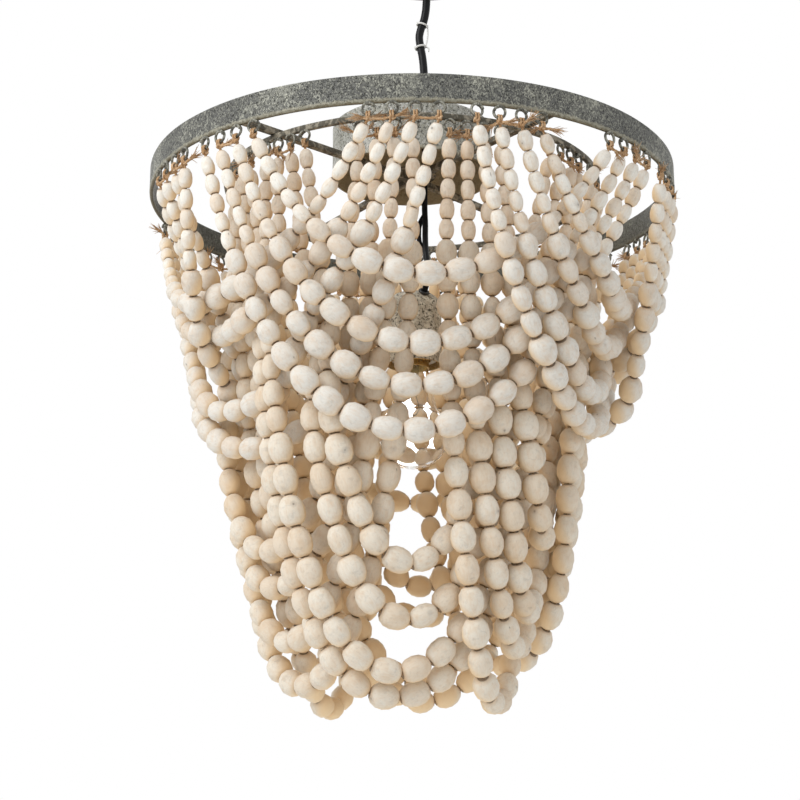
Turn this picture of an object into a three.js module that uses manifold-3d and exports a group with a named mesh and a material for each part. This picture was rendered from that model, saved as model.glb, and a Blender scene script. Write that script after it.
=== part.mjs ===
// A beaded chandelier: an iron hoop and an inner ring on two crossed bars under a drum,
// twelve swags of wooden beads on jute twine, and a lampholder on its own cord inside.
// Millimetres, +Z up. The origin is on the ceiling, at the middle of the canopy.

import * as THREE from 'three';
import { mergeVertices } from 'three/addons/utils/BufferGeometryUtils.js';
import Module from 'manifold-3d';

const wasm = await Module();
wasm.setup();

// Clearances
const seatGap = 0.3;
const cutOverrun = 1;

// Ceiling canopy and what holds it
const canopyRadius = 60;
const canopyHeight = 25;
const canopyWall = 1.4;
const canopyLip = 7;
const canopyCorner = 7;
const bracketClearance = 7;
const bracketLength = 2 * (canopyRadius - canopyLip - bracketClearance);
const bracketWidth = 20;
const bracketThickness = 2.5;
const screwInset = 10;
const screwSpacing = bracketLength - 2 * screwInset;
const screwRadius = 2;
const screwHeadRadius = 4.2;
const screwHeadHeight = 2.4;

// Cord grips and their nuts
const gripBodyRadius = 6;
const gripFlangeRadius = 9;
const gripFlangeHeight = 3;
const gripTailLength = 7;
const gripNutRadius = 10;
const gripNutHeight = 3.5;

// Leads inside the canopy
const leadRadius = 1.1;
const leadRise = 4.5;
const wireNutRadius = 5;
const wireNutHeight = 15;
const wireNutCircle = 35;
const wireNutBevel = 2;
const leadAzimuths = [60, 180, 300];

// Supply cord and the tie round its kink
const cordRadius = 3.6;
const tieRadius = 0.9;
const tieStripRadius = 0.7;
const tieBow = 1;
const tieTurnShares = [0.33, 0.48];

// Drum, hub plate and crossed bars
const drumRadius = 70.5;
const drumHeight = 46;
const drumWall = 1.5;
const cordOffset = 11.5;
const barWidth = 6;
const barHeight = 5;
const barRise = 5.5;
const plateRadius = 22;
const plateThickness = 2;
const bushRadius = 4.6;
const bushFlangeRadius = 6.4;
const bushFlangeHeight = 1.6;
const earthScrewRadius = 3.1;
const earthScrewHeight = 2.6;
const earthScrewDrop = 11;
const earthScrewAzimuth = 170;

// Hoop, inner ring and their wire eyes
const hoopRadius = 230;
const hoopHeight = 23;
const hoopWall = 3;
const ringRadius = 166;
const ringWidth = 4;
const ringHeight = 5;
const barInset = 0.6;
const eyeRadius = 4.6;
const eyeWireRadius = 0.95;
const eyeSink = 1.1;

// Lampholder
const innerCordRadius = 2.6;
const cordLoopRadius = 2.2;
const cupRadius = 24;
const cupHeight = 64;
const cupWall = 1.6;
const cupShoulder = 8;
const cupDrop = 104;
const cupX = 1.7;
const cupGripAzimuth = 25;
const cupGripFlangeRadius = 5;
const cupGripFlangeHeight = 2;
const cupGripBodyRadius = 3.9;
const socketRadius = 20;
const socketNeckRadius = 14;
const socketNeckHeight = 14;
const socketHeight = 58;
const socketRoof = 38;
const shellRadius = 14.1;
const shellHeight = 20;
const shellWall = 0.5;
const contactRadius = 3;
const contactHeight = 2;

// Bulb
const bulbRadius = 30;
const bulbWall = 1;
const bulbThroatRadius = 14.5;
const bulbThroatDrop = 7;
const bulbNeckHeight = 12;
const bulbGlassLength = 88;
const bulbShoulderAngle = 42;
const bulbSteps = 7;
const capRadius = 13.2;
const capHeight = 22;
const capWall = 1;
const capShoulder = 3;
const threadTurns = 3;
const threadPitch = 3.6;
const threadDepth = 0.6;
const tipRadius = 4.5;
const tipShankRadius = 2.2;
const tipHeight = 2.6;
const stemRadius = 4.5;
const stemLength = 34;
const stemFlangeHeight = 1.6;
const filamentRadius = 0.5;
const filamentHeight = 18;
const filamentSpread = 6;
const filamentShares = [[-0.5, 0], [-0.8, 0.35], [-0.75, 0.8], [0, 1], [0.75, 0.8], [0.8, 0.35], [0.5, 0]];

// Beads and twine
const smallBead = { radius: 5.8, length: 16 };
const middleBead = { radius: 8.3, length: 21 };
const largeBead = { radius: 9.8, length: 24.5 };
const beadGap = 0.4;
const twineRadius = 1.1;
const knotRadius = 2.4;
const neckLength = 4.5;
const strandClearance = 1.4;

// Places round the hoop, in degrees from the front, with the right-hand side positive: the
// clusters of eyes, and half the extra gap in the middle of each
const rowCount = 4;
const outerClusters = [-50, 8.5, 60, 121, 181, 241];
const outerSplits = [1.4, 1.4, 1.4, 1.4, 1.4, 1.4];
const innerClusters = [-51, 5.1, 62, 121, 181, 240];
const innerSplits = [1.4, 2.6, 1.4, 1.4, 1.4, 1.4];
const eyePitch = 4.5;
const innerEyePitch = 5;
const barAzimuths = [-44, 35];

// Middle and large beads on each row of a swag, from the shortest row to the longest, and how
// many more or fewer each swag has of them
const endBeads = 5;
const largeBeadShare = 0.55;
const outerRowBeads = [10, 13, 16, 20];
const innerRowBeads = [22, 25, 29, 33];
const outerRowExtras = [
  [0, 0, 1, 0], [-1, 0, 0, -1], [-1, -1, -1, -2], [0, -1, -2, -3], [0, 0, 0, 0], [0, 0, 0, 0],
];
const innerRowExtras = [
  [1, 1, 1, 0], [2, 3, 3, 1], [0, 2, 1, 1], [0, 0, -1, -2], [1, 1, 2, 0], [1, 2, 2, 1],
];

// How the strands are laid before they settle, as shares of a large bead's radius
const outerWeaveShare = 1.2;
const innerWeaveShare = 1.05;
const outerBulgeShare = 2.2;

// How they settle: steps of falling as shares of a small bead's length, a little off plumb, and
// the share of each step that carries on into the next
const settlingPasses = 260;
const fallShare = 0.012;
const leanShare = 0.026;
const carryShare = 0.92;
const calmShare = 0.6;
const lengthSweeps = 8;
const sweepsPerPush = 4;
const pairRefresh = 6;
const sagLimits = [1e-3, 12];
const sagHalvings = 50;

// Tubes that stand for the strands: their size beside the beads, and how often they have a ring
const strandSides = 4;
const strandRadiusShare = 0.92;
const ringTurn = THREE.MathUtils.degToRad(15);
const beadsPerRing = 4;

// Facets
const wideSides = 54;
const drumSides = 36;
const canopySides = 32;
const cupSides = 20;
const gripSides = 12;
const screwSides = 10;
const nutSides = 6;
const eyeSides = 6;
const eyeWireSides = 3;
const bracketHoleSteps = 6;
const plateSteps = 12;
const cordSides = 10;
const cordSteps = 18;
const leadSides = 8;
const leadSteps = 10;
const drumCordSteps = 6;
const innerCordSteps = 24;
const tieSides = 5;
const tieSteps = 12;
const stripSteps = 4;

// Supply cord: it hangs from the canopy's grip, with one soft kink where its tie holds it
const supplyRoute = [
  [0, -29.15],
  [0, -37],
  [0, -46],
  [-0.2, -55],
  [-0.9, -64],
  [-2.6, -73],
  [-5.2, -81],
  [-6.8, -89],
  [-5.9, -98],
  [-4.2, -108],
  [-3.1, -118],
  [-2.6, -128],
  [-2.4, -139],
  [-2.4, -150],
  [-2.4, -161],
  [-2.4, -175.4],
].map(([x, z]) => new THREE.Vector3(x, 0, z));

// Lampholder's cord from the hub plate's bush to the cup, and the loop tied in it, from the
// fixture's axis
const innerCordRoute = [
  [11.5, 0, -231.57],
  [11.5, 0, -236],
  [11.1, -0.4, -244],
  [9.9, -1.2, -252],
  [8.2, -2, -262],
  [7.6, -3.6, -274],
  [7.4, -5.6, -288],
  [7, -8.6, -302],
  [5.8, -12.4, -313],
  [6.4, -17.8, -322],
  [9.2, -21.6, -328.5],
].map(([x, y, z]) => new THREE.Vector3(x, y, z));

const cordLoopRoute = [
  [8.6, -2, -262],
  [11.6, -3.4, -270],
  [12.3, -5, -283],
  [10.8, -7.2, -295],
  [7.2, -8.4, -302],
].map(([x, y, z]) => new THREE.Vector3(x, y, z));

// Levels and places that follow from the sizes above
const supplyFoot = supplyRoute[supplyRoute.length - 1];
const axisX = supplyFoot.x - cordOffset;
const drumTop = supplyFoot.z - 2 * seatGap - gripFlangeHeight;
const drumBottom = drumTop - drumHeight;
const barReach = (hoopRadius - hoopWall) * Math.cos(Math.PI / wideSides) - seatGap;
const barFall = (radius) => (barRise * Math.max(0, radius - plateRadius)) / (barReach - plateRadius);
const barTop = drumBottom - seatGap + barFall(drumRadius - drumWall);
const hoopTop = barTop - barRise + barInset;
const hoopBottom = hoopTop - hoopHeight;
const ringTop = barTop - barFall(ringRadius) - barHeight - seatGap;
const ringBottom = ringTop - ringHeight;
const bushBottom = barTop - barHeight - bushFlangeHeight;
const cupTop = hoopTop - cupDrop;
const socketTop = cupTop - cupWall - seatGap;
const socketCeiling = socketTop - socketRoof;
const tipTop = socketCeiling - contactHeight - 2 * seatGap;
const capTop = tipTop - tipHeight;
const capBottom = capTop - capHeight;
const bulbBottom = capBottom - bulbGlassLength;

const looks = {
  iron: { color: 0x6f726b, roughness: 0.75, metalness: 0.35 },
  steel: { color: 0x9a9c9c, roughness: 0.4, metalness: 0.9 },
  blackCord: { color: 0x15171a, roughness: 0.3, metalness: 0 },
  blackPlastic: { color: 0x1b1b1c, roughness: 0.5, metalness: 0 },
  whitePlastic: { color: 0xf0f0ee, roughness: 0.4, metalness: 0 },
  greenPlastic: { color: 0x3f7a46, roughness: 0.6, metalness: 0 },
  cup: { color: 0xa7a193, roughness: 0.7, metalness: 0.25 },
  porcelain: { color: 0xe6e0d2, roughness: 0.35, metalness: 0 },
  brass: { color: 0xb08a45, roughness: 0.35, metalness: 0.9 },
  glass: { color: 0xf4f8f8, roughness: 0.05, metalness: 0 },
  tungsten: { color: 0x8a8680, roughness: 0.5, metalness: 0.8 },
  outerBeads: { color: 0xe6e0d4, roughness: 0.8, metalness: 0 },
  innerBeads: { color: 0xdccbb4, roughness: 0.8, metalness: 0 },
};

const chandelier = new THREE.Group();
const fixture = new THREE.Group();
fixture.position.x = axisX;
chandelier.add(fixture);

function addPiece(group, name, geometry, look) {
  const mesh = new THREE.Mesh(geometry, new THREE.MeshStandardMaterial(looks[look]));
  mesh.name = name;
  group.add(mesh);
}

// Solids for joins and cuts

function toSolid(geometry) {
  const bare = new THREE.BufferGeometry();
  bare.setAttribute('position', geometry.getAttribute('position').clone());
  if (geometry.index) bare.setIndex(geometry.index.clone());
  const merged = mergeVertices(bare, 1e-4);
  const triVerts = new Uint32Array(merged.index.array);
  const vertProperties = merged.attributes.position.array;
  const make = () => new wasm.Manifold(new wasm.Mesh({ numProp: 3, vertProperties, triVerts }));
  const solid = make();
  if (solid.volume() > 0) return solid;
  for (let i = 0; i < triVerts.length; i += 3) {
    const second = triVerts[i + 1];
    triVerts[i + 1] = triVerts[i + 2];
    triVerts[i + 2] = second;
  }
  return make();
}

function toGeometry(solid) {
  const mesh = solid.getMesh();
  const geometry = new THREE.BufferGeometry();
  geometry.setAttribute('position', new THREE.BufferAttribute(new Float32Array(mesh.vertProperties), 3));
  geometry.setIndex(new THREE.BufferAttribute(new Uint32Array(mesh.triVerts), 1));
  geometry.computeVertexNormals();
  return geometry;
}

const facingOut = (geometry) => toGeometry(toSolid(geometry));

const joined = (solids) => toGeometry(solids.reduce((sum, solid) => sum.add(solid)));

// Basic shapes, all upright along Z

// A closed ring of [radius, height] points, turned round the axis
function turned(profile, sides) {
  const points = profile.map(([radius, height]) => new THREE.Vector2(radius, height));
  const geometry = new THREE.LatheGeometry([...points, points[0].clone()], sides);
  geometry.rotateX(Math.PI / 2);
  return facingOut(geometry);
}

function rod(radius, bottom, top, sides, x = 0) {
  const geometry = new THREE.CylinderGeometry(radius, radius, top - bottom, sides);
  geometry.rotateX(Math.PI / 2);
  geometry.translate(x, 0, (top + bottom) / 2);
  return toSolid(geometry);
}

function moved(geometry, x, y, z) {
  geometry.translate(x, y, z);
  return geometry;
}

function cordTube(points, radius, sides, steps) {
  const section = new THREE.Shape();
  for (let i = 0; i < sides; i += 1) {
    const angle = (2 * Math.PI * i) / sides;
    const corner = [radius * Math.cos(angle), radius * Math.sin(angle)];
    if (i === 0) section.moveTo(...corner);
    else section.lineTo(...corner);
  }
  section.closePath();
  const extrudePath = new THREE.CatmullRomCurve3(points, false, 'centripetal');
  return facingOut(new THREE.ExtrudeGeometry(section, { steps, bevelEnabled: false, extrudePath }));
}

function atAzimuth(degrees, radius, z) {
  const angle = THREE.MathUtils.degToRad(degrees);
  return new THREE.Vector3(radius * Math.sin(angle), -radius * Math.cos(angle), z);
}

// A flanged grip in a sheet: the flange stands on the sheet's face and the tail leaves through it.
// side is 1 when the flange is above the sheet and -1 when it is below
function grip(face, side, { bore, body, flange, height, tail }) {
  const seat = face + side * seatGap;
  return turned([
    [bore, seat + side * height],
    [flange - height / 2, seat + side * height],
    [flange, seat + (side * height) / 2],
    [flange, seat],
    [body, seat],
    [body, face - side * tail],
    [bore, face - side * tail],
  ], gripSides);
}

function nut(face, side) {
  const seat = face + side * seatGap;
  const hole = (gripBodyRadius + seatGap) / Math.cos(Math.PI / nutSides);
  return turned([
    [hole, seat],
    [gripNutRadius, seat],
    [gripNutRadius, seat + side * gripNutHeight],
    [hole, seat + side * gripNutHeight],
  ], nutSides);
}

// Canopy and bracket

function makeCanopy() {
  const w = canopyWall;
  const inner = canopyRadius - w;
  const corner = canopyCorner;
  const profile = [
    [0, -canopyHeight],
    [canopyRadius - corner, -canopyHeight],
    [canopyRadius - corner / 3, -canopyHeight + corner / 3],
    [canopyRadius, -canopyHeight + corner],
    [canopyRadius, 0],
    [canopyRadius - canopyLip, 0],
    [canopyRadius - canopyLip, -w],
    [inner, -w],
    [inner, -canopyHeight + corner],
    [inner - corner / 3, -canopyHeight + corner / 3 + w],
    [inner - corner, -canopyHeight + w],
    [0, -canopyHeight + w],
  ];
  const low = -canopyHeight - cutOverrun;
  const high = -canopyHeight + w + cutOverrun;
  const cordHole = rod(gripBodyRadius + seatGap, low, high, gripSides);
  const screwHoles = [-1, 1].map((side) => rod(
    screwRadius + seatGap,
    low,
    high,
    screwSides,
    (side * screwSpacing) / 2,
  ));
  const shell = [cordHole, ...screwHoles].reduce(
    (solid, hole) => solid.subtract(hole),
    toSolid(turned(profile, canopySides)),
  );
  addPiece(chandelier, 'ceiling_canopy', toGeometry(shell), 'iron');
}

function makeBracket() {
  const outline = new THREE.Shape();
  const x = bracketLength / 2;
  const y = bracketWidth / 2;
  outline.moveTo(-x, -y);
  outline.lineTo(x, -y);
  outline.lineTo(x, y);
  outline.lineTo(-x, y);
  outline.closePath();
  for (const side of [-1, 1]) {
    const hole = new THREE.Path();
    hole.absarc((side * screwSpacing) / 2, 0, screwRadius + seatGap, 0, 2 * Math.PI, true);
    outline.holes.push(hole);
  }
  const options = { depth: bracketThickness, bevelEnabled: false, curveSegments: bracketHoleSteps };
  const plate = new THREE.ExtrudeGeometry(outline, options);
  addPiece(chandelier, 'mounting_bracket', facingOut(moved(plate, 0, 0, -bracketThickness)), 'steel');
}

function makeCanopyScrews() {
  const headTop = -canopyHeight - seatGap;
  [-1, 1].forEach((side, i) => {
    const screw = turned([
      [0, headTop - screwHeadHeight],
      [screwHeadRadius - screwHeadHeight / 2, headTop - screwHeadHeight],
      [screwHeadRadius, headTop - screwHeadHeight / 2],
      [screwHeadRadius, headTop],
      [screwRadius, headTop],
      [screwRadius, -bracketThickness / 2],
      [0, -bracketThickness / 2],
    ], screwSides);
    addPiece(chandelier, `canopy_screw_${i + 1}`, moved(screw, (side * screwSpacing) / 2, 0, 0), 'steel');
  });
}

function makeCanopyGrip() {
  const size = {
    bore: 2 * leadRadius,
    body: gripBodyRadius,
    flange: gripFlangeRadius,
    height: gripFlangeHeight,
    tail: gripTailLength,
  };
  addPiece(chandelier, 'canopy_cord_grip', grip(-canopyHeight, -1, size), 'blackPlastic');
  addPiece(chandelier, 'canopy_grip_nut', nut(-canopyHeight + canopyWall, 1), 'steel');
}

// Leads that rise from the grip inside the canopy and turn down into their wire nuts
function makeLeads() {
  const start = -canopyHeight + gripTailLength + seatGap;
  const nutLow = -canopyHeight + canopyWall + seatGap;
  const nutHigh = nutLow + wireNutHeight;
  const kinds = [['live', 'blackCord'], ['neutral', 'whitePlastic'], ['earth', 'greenPlastic']];
  kinds.forEach(([kind, look], i) => {
    const degrees = leadAzimuths[i];
    const points = [
      atAzimuth(degrees, gripBodyRadius / 2, start),
      atAzimuth(degrees, gripBodyRadius / 2, start + leadRise / 2),
      atAzimuth(degrees, wireNutCircle / 2, start + leadRise * 2),
      atAzimuth(degrees, wireNutCircle - wireNutRadius, nutHigh + leadRise),
      atAzimuth(degrees, wireNutCircle, nutHigh + leadRise / 2),
      atAzimuth(degrees, wireNutCircle, nutHigh + seatGap),
    ];
    addPiece(chandelier, `${kind}_lead`, cordTube(points, leadRadius, leadSides, leadSteps), look);
    const cone = turned([
      [0, nutLow],
      [wireNutRadius / 2, nutLow],
      [wireNutRadius - wireNutBevel, nutLow + wireNutBevel],
      [wireNutRadius, nutHigh],
      [0, nutHigh],
    ], screwSides);
    const centre = atAzimuth(degrees, wireNutCircle, 0);
    addPiece(chandelier, `wire_nut_${i + 1}`, moved(cone, centre.x, centre.y, 0), 'blackPlastic');
  });
}

// Supply cord and tie

function makeSupplyCord() {
  addPiece(chandelier, 'supply_cord', cordTube(supplyRoute, cordRadius, cordSides, cordSteps), 'blackCord');
  const path = new THREE.CatmullRomCurve3(supplyRoute, false, 'centripetal');
  const turnRadius = cordRadius + seatGap + tieRadius;
  const upright = new THREE.Vector3(0, 0, 1);
  const places = tieTurnShares.map((share) => path.getPointAt(share));
  const turns = tieTurnShares.map((share, i) => {
    const turn = new THREE.TorusGeometry(turnRadius, tieRadius, tieSides, tieSteps);
    turn.applyQuaternion(new THREE.Quaternion().setFromUnitVectors(upright, path.getTangentAt(share)));
    return toSolid(moved(turn, places[i].x, places[i].y, places[i].z));
  });
  const [upper, lower] = places.map((place) => place.clone().setX(place.x + turnRadius));
  const middle = upper.clone().add(lower).multiplyScalar(0.5);
  middle.x += tieBow;
  const strip = toSolid(cordTube([upper, middle, lower], tieStripRadius, tieSides, stripSteps));
  addPiece(chandelier, 'cord_tie', joined([...turns, strip]), 'whitePlastic');
}

// Drum

function makeDrum() {
  const inner = drumRadius - drumWall;
  const shell = toSolid(turned([
    [0, drumTop],
    [0, drumTop - drumWall],
    [inner, drumTop - drumWall],
    [inner, drumBottom],
    [drumRadius, drumBottom],
    [drumRadius, drumTop - drumWall],
    [drumRadius - drumWall, drumTop],
  ], drumSides));
  const low = drumTop - drumWall - cutOverrun;
  const cordHole = rod(gripBodyRadius + seatGap, low, drumTop + cutOverrun, gripSides, cordOffset);
  addPiece(fixture, 'drum_hub', toGeometry(shell.subtract(cordHole)), 'iron');
  const size = {
    bore: innerCordRadius + seatGap,
    body: gripBodyRadius,
    flange: gripFlangeRadius,
    height: gripFlangeHeight,
    tail: gripTailLength,
  };
  addPiece(fixture, 'drum_cord_grip', moved(grip(drumTop, 1, size), cordOffset, 0, 0), 'blackPlastic');
  addPiece(fixture, 'drum_grip_nut', moved(nut(drumTop - drumWall, -1), cordOffset, 0, 0), 'steel');
}

// The earth screw stands on the drum's inner wall, with its head towards the axis
function makeEarthScrew() {
  const screw = turned([
    [0, 0],
    [earthScrewRadius, 0],
    [earthScrewRadius, earthScrewHeight / 2],
    [earthScrewRadius - earthScrewHeight / 2, earthScrewHeight],
    [0, earthScrewHeight],
  ], screwSides);
  screw.rotateX(-Math.PI / 2);
  const seat = (drumRadius - drumWall) * Math.cos(Math.PI / drumSides) - seatGap;
  screw.translate(0, -seat, drumTop - drumWall - earthScrewDrop);
  screw.rotateZ(THREE.MathUtils.degToRad(earthScrewAzimuth));
  addPiece(fixture, 'earth_screw', facingOut(screw), 'brass');
}

// Crossed bars, bowed up a little to the hub; where they cross, each is cut to half its height

function makeBars() {
  const half = barHeight / 2;
  const low = barTop - barRise;
  barAzimuths.forEach((degrees, i) => {
    const outline = new THREE.Shape();
    outline.moveTo(-barReach, low);
    outline.lineTo(-barReach, low - barHeight);
    outline.lineTo(-plateRadius, barTop - barHeight);
    outline.lineTo(plateRadius, barTop - barHeight);
    outline.lineTo(barReach, low - barHeight);
    outline.lineTo(barReach, low);
    outline.lineTo(plateRadius, barTop);
    outline.lineTo(-plateRadius, barTop);
    outline.closePath();
    const side = new THREE.ExtrudeGeometry(outline, { depth: barWidth, bevelEnabled: false });
    side.translate(0, 0, -barWidth / 2);
    side.rotateX(Math.PI / 2);
    side.rotateZ(THREE.MathUtils.degToRad(degrees - 90));
    const notchLow = i === 0 ? barTop - half - seatGap / 2 : barTop - barHeight - cutOverrun;
    const notchHigh = i === 0 ? barTop + cutOverrun : barTop - half + seatGap / 2;
    const width = barWidth + 2 * seatGap;
    const notch = new THREE.BoxGeometry(3 * width, width, notchHigh - notchLow);
    notch.rotateZ(THREE.MathUtils.degToRad(barAzimuths[1 - i] - 90));
    notch.translate(0, 0, (notchLow + notchHigh) / 2);
    addPiece(fixture, `cross_bar_${i + 1}`, toGeometry(toSolid(side).subtract(toSolid(notch))), 'iron');
  });
}

function makeHubPlate() {
  const outline = new THREE.Shape();
  outline.absarc(0, 0, plateRadius, 0, 2 * Math.PI, false);
  const hole = new THREE.Path();
  hole.absarc(cordOffset, 0, bushRadius + seatGap, 0, 2 * Math.PI, true);
  outline.holes.push(hole);
  const options = { depth: plateThickness, bevelEnabled: false, curveSegments: plateSteps };
  const plate = moved(new THREE.ExtrudeGeometry(outline, options), 0, 0, barTop + seatGap);
  addPiece(fixture, 'hub_plate', facingOut(plate), 'iron');
  const face = barTop + seatGap + plateThickness;
  const bush = grip(face, 1, {
    bore: innerCordRadius + seatGap,
    body: bushRadius,
    flange: bushFlangeRadius,
    height: bushFlangeHeight,
    tail: face - bushBottom,
  });
  addPiece(fixture, 'cord_bush', moved(bush, cordOffset, 0, 0), 'blackPlastic');
  const route = [drumTop + gripFlangeHeight, drumBottom, bushBottom].map(
    (z) => new THREE.Vector3(cordOffset, 0, z + seatGap),
  );
  addPiece(fixture, 'drum_cord', cordTube(route, innerCordRadius, leadSides, drumCordSteps), 'blackCord');
}

// Hoop and inner ring, each in one piece with the eyes welded under it

// An eye faces outwards, with the top of its wire sunk into what carries it
function eye(degrees, radius, carrierBottom) {
  const geometry = new THREE.TorusGeometry(eyeRadius, eyeWireRadius, eyeWireSides, eyeSides);
  geometry.rotateX(Math.PI / 2);
  geometry.rotateZ(THREE.MathUtils.degToRad(degrees));
  const centre = atAzimuth(degrees, radius, carrierBottom + eyeSink - eyeRadius - eyeWireRadius);
  return toSolid(moved(geometry, centre.x, centre.y, centre.z));
}

// Azimuths for the rows that end in one half of a cluster, from the shortest row to the longest.
// side is -1 for the left half and 1 for the right half
function rowAzimuths(tier, cluster, side) {
  return Array.from({ length: rowCount }, (_, row) => {
    const places = rowCount - row - 0.5;
    return tier.clusters[cluster] + side * (tier.splits[cluster] + tier.pitch * places);
  });
}

const outerTier = {
  name: 'outer',
  clusters: outerClusters,
  splits: outerSplits,
  pitch: eyePitch,
  radius: hoopRadius - hoopWall / 2,
  bottom: hoopBottom,
  rowBeads: outerRowBeads,
  rowExtras: outerRowExtras,
  weave: outerWeaveShare * largeBead.radius,
  bulge: outerBulgeShare * largeBead.radius,
};

const innerTier = {
  name: 'inner',
  clusters: innerClusters,
  splits: innerSplits,
  pitch: innerEyePitch,
  radius: ringRadius - ringWidth / 2,
  bottom: ringBottom,
  rowBeads: innerRowBeads,
  rowExtras: innerRowExtras,
  weave: innerWeaveShare * largeBead.radius,
  bulge: 0,
};

function eyesOf(tier) {
  const azimuths = tier.clusters.flatMap((_, cluster) => [
    ...rowAzimuths(tier, cluster, -1),
    ...rowAzimuths(tier, cluster, 1),
  ]);
  return azimuths.map((degrees) => eye(degrees, tier.radius, tier.bottom));
}

function makeBand(name, tier, radius, width, top) {
  const band = turned([
    [radius - width, tier.bottom],
    [radius, tier.bottom],
    [radius, top],
    [radius - width, top],
  ], wideSides);
  addPiece(fixture, name, joined([toSolid(band), ...eyesOf(tier)]), 'iron');
}

// Strands: each is a chain of straight links, one to a bead, between the knots under two eyes

// The beads of a row: small ones at both ends, then middle ones, and large ones in the middle
function beadsOfRow(middleCount) {
  const ends = Array(endBeads).fill(smallBead);
  const margin = (middleCount * (1 - largeBeadShare)) / 2;
  const middle = Array.from({ length: middleCount }, (_, i) => {
    const large = i + 0.5 > margin && i + 0.5 < middleCount - margin;
    return large ? largeBead : middleBead;
  });
  return [...ends, ...middle, ...ends];
}

// A knot hangs close under the flat at the bottom of its eye
function knotUnder(tier, degrees) {
  const outer = eyeRadius + eyeWireRadius;
  const eyeBottom = tier.bottom + eyeSink - outer * (1 + Math.cos(Math.PI / eyeSides));
  return atAzimuth(degrees, tier.radius, eyeBottom - seatGap - knotRadius);
}

// The sag of a chain of this length over this span, as the a in length = span * sinh(a) / a
function sagNumber(length, span) {
  let [low, high] = sagLimits;
  for (let i = 0; i < sagHalvings; i += 1) {
    const middle = (low + high) / 2;
    if (Math.sinh(middle) / middle < length / span) low = middle;
    else high = middle;
  }
  return (low + high) / 2;
}

// A strand starts as a catenary from knot to knot. Its left part is laid outside its neighbours
// and its right part inside them, so that the swags weave
function layStrand(tier, swag, row) {
  const count = tier.clusters.length;
  const from = knotUnder(tier, rowAzimuths(tier, (swag + count - 1) % count, 1)[row]);
  const to = knotUnder(tier, rowAzimuths(tier, (swag + 1) % count, -1)[row]);
  const beads = beadsOfRow(tier.rowBeads[row] + tier.rowExtras[swag][row]);
  const neck = { radius: twineRadius, length: neckLength };
  const links = [neck, ...beads, neck].map((bead) => ({
    radius: bead.radius,
    length: bead === neck ? neckLength : bead.length + beadGap,
  }));
  const total = links.reduce((sum, link) => sum + link.length, 0);
  const span = from.distanceTo(to);
  const a = sagNumber(total, span);
  const outwards = from.clone().add(to).setZ(0).normalize();
  const points = [];
  let along = 0;
  for (let i = 0; i <= links.length; i += 1) {
    const share = (Math.asinh((2 * a * along) / span - Math.sinh(a)) / a + 1) / 2;
    const point = from.clone().lerp(to, share);
    const shift = tier.weave * Math.sin(2 * Math.PI * share) + tier.bulge * Math.sin(Math.PI * share);
    point.addScaledVector(outwards, shift);
    point.z += (span / (2 * a)) * (Math.cosh(a * (2 * share - 1)) - Math.cosh(a));
    points.push({ x: point.x, y: point.y, z: point.z, free: i > 0 && i < links.length ? 1 : 0 });
    if (i < links.length) along += links[i].length;
  }
  links.forEach((link, i) => {
    link.a = points[i];
    link.b = points[i + 1];
  });
  return { swag, tier, points, links };
}

function keepLength(link) {
  const { a, b } = link;
  const dx = b.x - a.x;
  const dy = b.y - a.y;
  const dz = b.z - a.z;
  const distance = Math.hypot(dx, dy, dz);
  const weight = a.free + b.free;
  if (weight === 0) return;
  const pull = (distance - link.length) / (distance * weight);
  a.x += a.free * pull * dx;
  a.y += a.free * pull * dy;
  a.z += a.free * pull * dz;
  b.x -= b.free * pull * dx;
  b.y -= b.free * pull * dy;
  b.z -= b.free * pull * dz;
}

// Where two links come too near each other, their nearest points are pushed apart
function pushApart([first, second]) {
  const { a, b } = first;
  const { a: c, b: d } = second;
  const ux = b.x - a.x;
  const uy = b.y - a.y;
  const uz = b.z - a.z;
  const vx = d.x - c.x;
  const vy = d.y - c.y;
  const vz = d.z - c.z;
  const wx = a.x - c.x;
  const wy = a.y - c.y;
  const wz = a.z - c.z;
  const uu = ux * ux + uy * uy + uz * uz;
  const uv = ux * vx + uy * vy + uz * vz;
  const vv = vx * vx + vy * vy + vz * vz;
  const uw = ux * wx + uy * wy + uz * wz;
  const vw = vx * wx + vy * wy + vz * wz;
  const bottom = uu * vv - uv * uv;
  let s = bottom > 1e-9 * uu * vv ? (uv * vw - vv * uw) / bottom : 0.5;
  s = Math.min(1, Math.max(0, s));
  const t = Math.min(1, Math.max(0, (uv * s + vw) / vv));
  s = Math.min(1, Math.max(0, (uv * t - uw) / uu));
  const dx = wx + s * ux - t * vx;
  const dy = wy + s * uy - t * vy;
  const dz = wz + s * uz - t * vz;
  const distance = Math.hypot(dx, dy, dz);
  const lack = first.radius + second.radius + strandClearance - distance;
  if (lack <= 0) return;
  const shares = [(1 - s) * a.free, s * b.free, (1 - t) * c.free, t * d.free];
  const weight = (1 - s) * shares[0] + s * shares[1] + (1 - t) * shares[2] + t * shares[3];
  const push = lack / (distance * weight);
  [a, b, c, d].forEach((point, i) => {
    const step = (i < 2 ? 1 : -1) * push * shares[i];
    point.x += step * dx;
    point.y += step * dy;
    point.z += step * dz;
  });
}

// Pairs of links on different strands that are near enough to touch within the next few passes
function nearPairs(links) {
  const places = links.map(({ a, b, length, radius }) => ({
    x: (a.x + b.x) / 2,
    y: (a.y + b.y) / 2,
    z: (a.z + b.z) / 2,
    reach: length / 2 + radius + strandClearance,
  }));
  const pairs = [];
  for (let i = 0; i < links.length; i += 1) {
    const here = places[i];
    for (let j = i + 1; j < links.length; j += 1) {
      const there = places[j];
      const reach = here.reach + there.reach;
      const dx = here.x - there.x;
      const dy = here.y - there.y;
      const dz = here.z - there.z;
      const near = dx * dx + dy * dy + dz * dz < reach * reach;
      if (near && links[i].strand !== links[j].strand) pairs.push([links[i], links[j]]);
    }
  }
  return pairs;
}

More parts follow.
